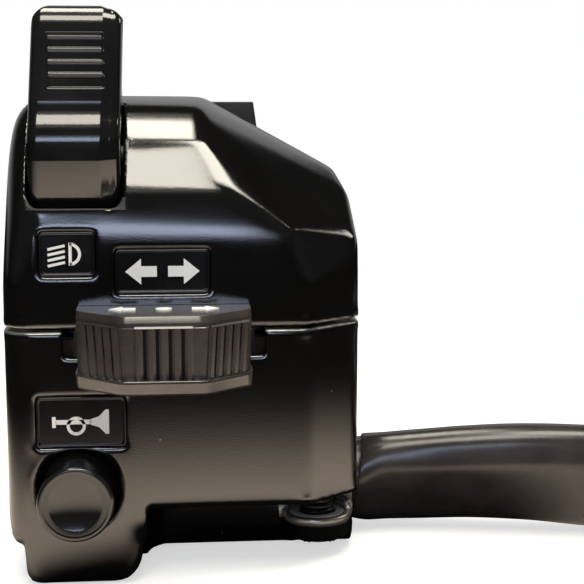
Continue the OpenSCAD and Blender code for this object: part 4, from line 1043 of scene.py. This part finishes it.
def rib_tree():
    """Node tree: a straight row of leaning eight-sided ribs."""
    tree = bpy.data.node_groups.new("rib_row", "GeometryNodeTree")
    for label, kind in RIB_INPUTS.items():
        tree.interface.new_socket(label, in_out="INPUT", socket_type=kind)
    tree.interface.new_socket("Geometry", in_out="OUTPUT", socket_type=GEOMETRY)
    n = Nodes(tree)
    given = n.add("NodeGroupInput").outputs
    row = n.add("GeometryNodeMeshLine", {"Count": given["Count"], "Start Location": given["First"],
                                         "Offset": given["Step"]}, mode="OFFSET")
    bar = n.add("GeometryNodeMeshCylinder", {"Vertices": RIB_SIDES, "Side Segments": 2, "Radius": 1.0,
                                             "Depth": 1.0}, fill_type="NGON")
    flat = n.add("GeometryNodeTransform", {"Geometry": bar.outputs["Mesh"],
                                           "Rotation": (0, 0, math.pi / RIB_SIDES)})
    shape = n.add("ShaderNodeCombineXYZ", {0: n.math("MULTIPLY", given["Width"], 0.5), 1: given["Depth"],
                                           2: given["Height"]})
    sized = n.add("GeometryNodeTransform", {"Geometry": flat.outputs[0], "Scale": shape.outputs[0]})
    turn = n.add("ShaderNodeCombineXYZ", {0: given["Lean"], 2: given["Turn"]})
    placed = n.add("GeometryNodeInstanceOnPoints", {"Points": row.outputs[0], "Instance": sized.outputs[0],
                                                    "Rotation": turn.outputs[0]})
    real = n.add("GeometryNodeRealizeInstances", {0: placed.outputs[0]})
    done = n.add("GeometryNodeSetMaterial", {"Geometry": real.outputs[0], "Material": given["Material"]})
    n.add("NodeGroupOutput", {0: done.outputs[0]})
    return tree


def grown(tree, name, **inputs):
    """Plain mesh that a node tree makes; inputs are set by socket identifier."""
    obj = link(bpy.data.objects.new(name, bpy.data.meshes.new(name)))
    modifier = obj.modifiers.new("grow", "NODES")
    modifier.node_group = tree
    keys = {s.name: s.identifier for s in tree.interface.items_tree if s.in_out == "INPUT"}
    for label, value in inputs.items():
        modifier[keys[label]] = value
    obj.update_tag()
    return bake(obj)


class CLUSTER_OT_knob(PieceMaker, bpy.types.Operator):
    """Makes the faceted turn knob with its ribs, its top marks and its neck"""
    bl_idname = "cluster.knob"
    bl_label = "Turn knob"

    def corners(self, out, lead):
        """Front outline from left to right, out of the face by out, cut back by lead."""
        right = [(KNOB_MID + out * 0.25, KNOB_FRONT + lead - out),
                 (KNOB_HALF + out * 0.3, KNOB_SIDE + lead - out * 0.5), (KNOB_HALF + out * 0.3, FACE_Y - 0.3)]
        return [(-x, y) for x, y in right[::-1]] + right

    def outline(self, corners, radius):
        """Rounded line through the corners, always with the same point count."""
        p = np.array(corners, float)
        bends = [[p[0]]]
        for i in range(1, len(p) - 1):
            a = (p[i - 1] - p[i]) / np.linalg.norm(p[i - 1] - p[i])
            b = (p[i + 1] - p[i]) / np.linalg.norm(p[i + 1] - p[i])
            bends.append([p[i] + a * radius * (1 - t) ** 2 + b * radius * t ** 2
                          for t in np.linspace(0, 1, 9)])
        bends.append([p[-1]])
        full = []
        for a, b in zip(bends, bends[1:]):
            full += a + [a[-1] + (b[0] - a[-1]) * k / 14 for k in range(1, 14)]
        return full + bends[-1]

    def block(self, name, rings, material, smooth=False):
        """Solid through rings in millimetres from the knob's middle."""
        rings = [[(np.array(p) + (KNOB_X, 0, 0)) * MM for p in ring] for ring in rings]
        return mesh_object(name, *skin(rings), smooth=smooth, material=material)

    def prism(self, name, outline, low, high, material):
        return self.block(name, [[(x, y, z) for x, y in outline] for z in (low, high)], material)

    def levels(self, proud):
        """Heights of the body's rings, each with how far out and how far cut back it is, from below up."""
        under, roof = KNOB_LOW - KNOB_DROP, KNOB_TOP + KNOB_RISE
        wall = roof - KNOB_WALL
        bottom = [(under, -0.9, 1.2), (under, -0.25, 0.6), (under + 0.12, -0.02, 0.4),
                  (under + 0.35, 0.12, 0.27)]
        lip = [(KNOB_LOW - 0.35, proud - 0.05, 0.1), (KNOB_LOW - 0.2, proud, 0), (KNOB_LOW - 0.05, proud, 0),
               (KNOB_LOW + 0.02, proud - 0.05, 0)]
        ribbed = [(KNOB_LOW + 0.05, ZONE_LOW, 0), (KNOB_TOP - 0.05, ZONE_TOP, 0)]
        above = [(KNOB_TOP + 0.05, 0, 0), (wall - 0.05, 0, 0), (wall + 0.03, -0.02, 0.01)]
        top = [(roof - 0.06, -0.2, 0.26), (roof, -0.28, 0.34), (roof, -1.0, 0.5)]
        return bottom + lip + ribbed + above + top

    def groove(self, start, end, out):
        """Sheet of painted shade on the floor between the ribs of a facet, and the sloped lip above them."""
        def ring(depth, z):
            places = ((start, -0.8), (end, -0.8), (end, depth), (start, depth))
            return [(*(p + out * d), z) for p, d in places]

        # The floor is a thin dark sheet that paints the shade of the grooves between the ribs
        floor = [ring(ZONE_LOW + ZONE_LAYER, KNOB_LOW), ring(ZONE_TOP + ZONE_LAYER, KNOB_TOP)]
        lip = [ring(0.5, KNOB_TOP), ring(0.34, KNOB_TOP + 0.24)]
        return [self.block("knob_floor", floor, "knob_groove"), self.block("knob_lip", lip, "knob_plastic")]

    def facet(self, tree, k, a, b, sizes):
        """Ribs on the facet from corner a to corner b, with the groove that they stand in, whose floor is a
        sheet of painted shade.
        """
        wide = np.linalg.norm(b - a)
        along = (b - a) / wide
        out = np.array((along[1], -along[0]))
        before, after = RIB_MARGINS[k]
        pitch = (wide - before - after) / (sizes.knob_ribs - 1)
        first = a + along * before
        last = first + along * pitch * (sizes.knob_ribs - 1)
        middle = first + out * (ZONE_TOP + ZONE_LOW) / 2
        ribs = grown(tree, "knob_ribs_%d" % k, Count=sizes.knob_ribs,
                     First=((KNOB_X + middle[0]) * MM, middle[1] * MM, (KNOB_LOW + KNOB_TOP) / 2 * MM),
                     Step=tuple(np.append(along * pitch, 0) * MM), Turn=math.atan2(along[1], along[0]),
                     Lean=math.atan2(ZONE_TOP - ZONE_LOW, KNOB_TOP - KNOB_LOW), Width=sizes.rib_width,
                     Depth=sizes.rib_height, Height=(KNOB_TOP - KNOB_LOW) * MM,
                     Material=finish("knob_plastic"))
        return [ribs] + self.groove(first - along * RIB_PAST, last + along * RIB_PAST, out)

    def build(self, sizes):
        edge = 0.5 + sizes.knob_round / MM
        rings = [[(x, y, z) for x, y in self.outline(self.corners(out, lead), edge)]
                 for z, out, lead in self.levels(sizes.rib_height / MM)]
        parts = [self.block("knob_body", rings, "knob_plastic", smooth=True)]
        tree = rib_tree()
        corners = [np.array(c) for c in self.corners(0, 0)[1:5]]
        for k, (a, b) in enumerate(zip(corners, corners[1:])):
            parts += self.facet(tree, k, a, b, sizes)
        neck = [(x, y) for x, y in zip(NECK_X + NECK_X[::-1], (NECK_Y[0], NECK_Y[0], NECK_Y[1], NECK_Y[1]))]
        parts.append(self.prism("knob_neck", neck, *NECK_Z, "knob_plastic"))
        arrow = arrow_shape(7.3, 3.7, 2.0, 0.95)
        marks = [("knob_arrow", [(side * x, MARK_Y + y) for x, y in arrow]) for side in (-1, 1)]
        marks.append(("knob_dot", arc((0, MARK_Y), DOT_R, 0, 345, 23)))
        roof = KNOB_TOP + KNOB_RISE
        for name, outline in marks:
            parts.append(self.prism(name, outline, roof - MARK_IN, roof + MARK_OUT, "label_mark"))
        knob = join("turn_grip", parts)
        for polygon in knob.data.polygons:
            polygon.use_smooth = True
        knob.data.set_sharp_from_angle(angle=math.radians(20))
        finish_piece(knob, "turn_slide", "knob_plastic", "turn_knob")


# Horn button, in millimetres

HORN_X, HORN_Z, HORN_R, HORN_TIP, HORN_BACK, HORN_DISH = -14.3, -22.3, 5.1, -33.0, -23.1, 3.6
# Radius and height of the stem, the flange and the barrel; then the rounding of the front edge
HORN_STEM = [(0, -7.3), (1.4, -7.3), (1.5, -7.2), (1.5, -1.5)]
HORN_FLANGE = [(6.3, -1.5), (6.5, -1.3), (6.5, -0.2), (6.3, 0)]
HORN_BARREL = [(HORN_R, 0), (HORN_R, 2), (HORN_R, 5)]
HORN_EDGE = 0.42


class CLUSTER_OT_horn(PieceMaker, bpy.types.Operator):
    """Makes the dished horn button with its retaining flange and stem"""
    bl_idname = "cluster.horn"
    bl_label = "Horn button"

    def build(self, sizes):
        rim, dish = sizes.horn_rim / MM, sizes.horn_dish / MM
        top = HORN_BACK - HORN_TIP
        inner = HORN_R - rim - 0.25
        profile = HORN_STEM + HORN_FLANGE + HORN_BARREL + [(HORN_R - 0.02, top - 0.6)]
        profile += [(HORN_R - HORN_EDGE * (1 - math.cos(a)), top - HORN_EDGE + HORN_EDGE * math.sin(a))
                    for a in np.linspace(0, math.pi / 2, 8)]
        profile += [(inner + 0.12, top), (inner + 0.02, top - 0.03), (inner - 0.1, top - 0.05)]
        profile += [(HORN_DISH + 0.05, top - 0.05)]
        profile += [(HORN_DISH * math.sqrt(1 - t), top - 0.06 - dish * t)
                    for t in np.linspace(0.01, 0.98, 36)]
        profile += [(0, top - 0.06 - dish)]
        button = lathe("horn_push", profile, (HORN_X, HORN_BACK, HORN_Z), (0, -1, 0), 128)
        finish_piece(button, "horn_push", "gloss_plastic", "horn_button")


# Labels: each mark is one outline, or an outer and an inner line, in millimetres from the label's middle

def bar_shape(x0, z0, x1, z1, width):
    """Four corners of a straight bar."""
    along = np.array((x1 - x0, z1 - z0), float)
    side = np.array((-along[1], along[0])) / np.linalg.norm(along) * width / 2
    a, b = np.array((x0, z0)), np.array((x1, z1))
    return [tuple(a + side), tuple(a - side), tuple(b - side), tuple(b + side)]


def arrow_shape(tip, tail, half, stem):
    """Flat arrow that lies along X."""
    neck = tip + (tail - tip) * 0.5
    return [(tip, 0), (neck, half), (neck, stem), (tail, stem), (tail, -stem), (neck, -stem), (neck, -half)]


def lamp_shapes():
    """Dipped lamp: a half-round lens outline and four falling rays."""
    lens = [arc((0.35, 0), radius, -90, 90, 24) for radius in (1.55, 1.15)]
    rays = [[bar_shape(-2.55, z - 0.5, -0.25, z, 0.36)] for z in (1.15, 0.4, -0.35, -1.1)]
    return [lens, [bar_shape(0.45, -1.55, 0.45, 1.55, 0.42)]] + rays


def turn_shapes():
    """Two arrows, one each way."""
    return [[arrow_shape(side * 5.0, side * 0.75, 1.75, 0.72)] for side in (-1, 1)]


def horn_shapes():
    """Bugle: bell, tube, a loop of tube below and a mouthpiece."""
    edge = [(1.2, 0.35), (2.4, 0.75), (3.3, 1.7), (3.75, 1.7)]
    bell = edge + [(x, -z) for x, z in edge[::-1]]
    loop = [arc((-0.7, -0.55), radius, 0, 360, 40) for radius in (1.3, 0.88)]
    return [[bell], [bar_shape(-3.4, 0.0, 1.3, 0.0, 0.62)], loop, [bar_shape(-3.7, -0.75, -3.7, 0.75, 0.5)]]


LABELS = {"beam_label": lamp_shapes, "turn_label": turn_shapes, "horn_label": horn_shapes}
LABEL_CORNER, LEAST_CORNER, MARK_ROOT = 0.55 * MM, 0.12 * MM, 0.05 * MM


class CLUSTER_OT_labels(PieceMaker, bpy.types.Operator):
    """Makes the three label plates with raised rims and plain white symbols"""
    bl_idname = "cluster.labels"
    bl_label = "Labels"

    def plate(self, name, node, sizes):
        low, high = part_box(node)

        def frame_line(inset, depth):
            radius = max(LABEL_CORNER - inset * 0.4, LEAST_CORNER)
            edge = inset + radius
            x0, x1, z0, z1 = low.x + edge, high.x - edge, low.z + edge, high.z - edge
            line = []
            for k, corner in enumerate(((x1, z1), (x0, z1), (x0, z0), (x1, z0))):
                line += [(x, low.y + depth, z) for x, z in arc(corner, radius, 90 * k, 90 * k + 90, 8)]
            return line

        rim, sink = sizes.label_rim, sizes.label_sink
        rings = [frame_line(inset, depth) for inset, depth in (
            (0, high.y - low.y), (0, 0.1 * MM), (0.03 * MM, 0.03 * MM), (0.1 * MM, 0), (rim - 0.08 * MM, 0),
            (rim - 0.02 * MM, 0.04 * MM), (rim, sink - 0.05 * MM), (rim + 0.08 * MM, sink),
            (rim + 0.16 * MM, sink))]
        plate = mesh_object(name, *skin(rings), material="label_plastic")
        plate.data.set_sharp_from_angle(angle=math.radians(50))
        return plate

    def mark(self, name, lines, node, sizes):
        """White raised shape of one outline, or between an outer and an inner line."""
        low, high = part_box(node)
        middle = (low + high) / 2
        field = low.y + sizes.label_sink
        levels = [field + MARK_ROOT, field - sizes.mark_height]
        rings = []
        for line in lines:
            rings += [[(middle.x + x * MM, y, middle.z + z * MM) for x, z in line] for y in levels]
            levels.reverse()
        ring_shaped = len(lines) == 2
        points, faces = skin(rings, closed=ring_shaped, wrap=not ring_shaped)
        count = len(lines[0])
        if ring_shaped and math.dist(lines[0][0], lines[0][-1]) > MARK_WELD:
            faces += [tuple(k + count * level for level in range(4)) for k in (0, count - 1)]
        return mesh_object(name, points, faces, smooth=False, material="label_mark", weld=MARK_WELD)

    def build(self, sizes):
        for node, shapes in LABELS.items():
            parts = [self.plate(node + "_plate", node, sizes)]
            parts += [self.mark(node + "_mark_%d" % k, lines, node, sizes)
                      for k, lines in enumerate(shapes())]
            label = join(node + "_finished", parts)
            finish_piece(label, BODY, "label_plastic", node)


# Trigger, screws and inner pieces, in millimetres

# Place and seat height of each clamp screw, and the height of its end
SCREWS, SCREW_END = ((19.8, -14.5, -30.8), (-15.0, 14.5, -24.0)), 7.0
# Radius and height of the head from the socket's floor out; then the thread's radii, start, flank and pitch
SCREW_HEAD = [(0, 1.5), (1.45, 1.5), (1.6, 1.65), (1.62, 2.25), (1.8, 2.4), (3.35, 2.4), (3.7, 2.1),
              (3.75, 1.9), (3.75, 0.15), (3.6, 0), (2.5, 0)]
THREAD_R, THREAD_ROOT, SCREW_TIP_R = 2.5, 2.16, 2.1
THREAD_START, THREAD_STOP, THREAD_FLANK, THREAD_PITCH = 1.0, 0.6, 0.28, 0.8
INNER = {"black_screw": ("dimmer_pivot_pin",),
         "steel": ("dimmer_detent_ball", "dimmer_detent_spring", "turn_carriage_screw", "turn_detent_ball",
                   "turn_detent_spring", "turn_detent_rail", "horn_spring", "pass_pivot_pin", "pass_spring",
                   "cable_band"),
         "brass": ("dimmer_contact_bridge", "dimmer_fixed_contacts", "turn_contact_plate",
                   "turn_fixed_contacts", "horn_contact_washer", "horn_fixed_contact", "pass_contact_leaf",
                   "plug_terminals"),
         "phenolic": ("dimmer_contact_base", "turn_contact_base", "horn_contact_base"),
         "trigger_plastic": ("turn_carriage",),
         "rubber": ("cable_grommet",),
         "wire_orange": ("switch_wires",)}


class CLUSTER_OT_trigger(PieceMaker, bpy.types.Operator):
    """Makes the flash trigger behind the roll"""
    bl_idname = "cluster.trigger"
    bl_label = "Flash trigger"

    def build(self, sizes):
        trigger = soft_skin("flash_blade", "pass_trigger", sizes.fine_grain, 8)
        finish_piece(trigger, "flash_trigger", "trigger_plastic", "pass_trigger")


class CLUSTER_OT_screws(PieceMaker, bpy.types.Operator):
    """Makes the two clamp screws with socket heads and cut threads"""
    bl_idname = "cluster.screws"
    bl_label = "Clamp screws"

    def build(self, sizes):
        parts = []
        for x, y, seat in SCREWS:
            profile = list(SCREW_HEAD)
            shank = SCREW_END - seat
            z = THREAD_START
            while z < shank - THREAD_STOP:
                profile += [(THREAD_R, -z), (THREAD_ROOT, -z - THREAD_FLANK),
                            (THREAD_R, -z - 2 * THREAD_FLANK)]
                z += THREAD_PITCH
            profile += [(SCREW_TIP_R, -shank), (0, -shank)]
            parts.append(lathe("screw", profile, (x, y, seat), (0, 0, -1), 48, "black_screw"))
        screws = join("clamp_bolts", parts)
        screws.data.set_sharp_from_angle(angle=math.radians(35))
        finish_piece(screws, BODY, "black_screw", "clamp_screws")


class CLUSTER_OT_inside(PieceMaker, bpy.types.Operator):
    """Gives the pieces inside the body their finishes"""
    bl_idname = "cluster.inside"
    bl_label = "Inner pieces"

    def build(self, sizes):
        for name, nodes in INNER.items():
            for node in nodes:
                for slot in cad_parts[node].material_slots:
                    slot.material = finish(name)


class CLUSTER_PT_panel(bpy.types.Panel):
    """Lists the settings and the pieces"""
    bl_idname = "CLUSTER_PT_panel"
    bl_label = "Switch cluster"
    bl_space_type = "VIEW_3D"
    bl_region_type = "UI"
    bl_category = "Cluster"

    def draw(self, context):
        for name in SETTINGS:
            settings = getattr(context.scene, name)
            box = self.layout.box()
            for key in settings.__annotations__:
                box.prop(settings, key)
        for operator in OPERATORS:
            self.layout.operator(operator.bl_idname)


SETTINGS = {"cluster_sizes": ClusterSizes, "cluster_colours": ClusterColours, "cluster_stage": ClusterStage}
OPERATORS = (CLUSTER_OT_stage, CLUSTER_OT_loom, CLUSTER_OT_halves, CLUSTER_OT_lever, CLUSTER_OT_knob,
             CLUSTER_OT_horn, CLUSTER_OT_labels, CLUSTER_OT_trigger, CLUSTER_OT_screws, CLUSTER_OT_inside)


def register():
    for cls in (*SETTINGS.values(), *OPERATORS, CLUSTER_PT_panel):
        bpy.utils.register_class(cls)
    for key, cls in SETTINGS.items():
        setattr(bpy.types.Scene, key, PointerProperty(type=cls))


def unregister():
    for key in SETTINGS:
        delattr(bpy.types.Scene, key)
    for cls in reversed((*SETTINGS.values(), *OPERATORS, CLUSTER_PT_panel)):
        bpy.utils.unregister_class(cls)


def main():
    register()
    bpy.ops.cluster.stage()
    bpy.ops.cluster.loom()
    bpy.ops.cluster.halves()
    bpy.ops.cluster.lever()
    bpy.ops.cluster.knob()
    bpy.ops.cluster.horn()
    bpy.ops.cluster.labels()
    bpy.ops.cluster.trigger()
    bpy.ops.cluster.screws()
    bpy.ops.cluster.inside()


if __name__ == "__main__":
    main()
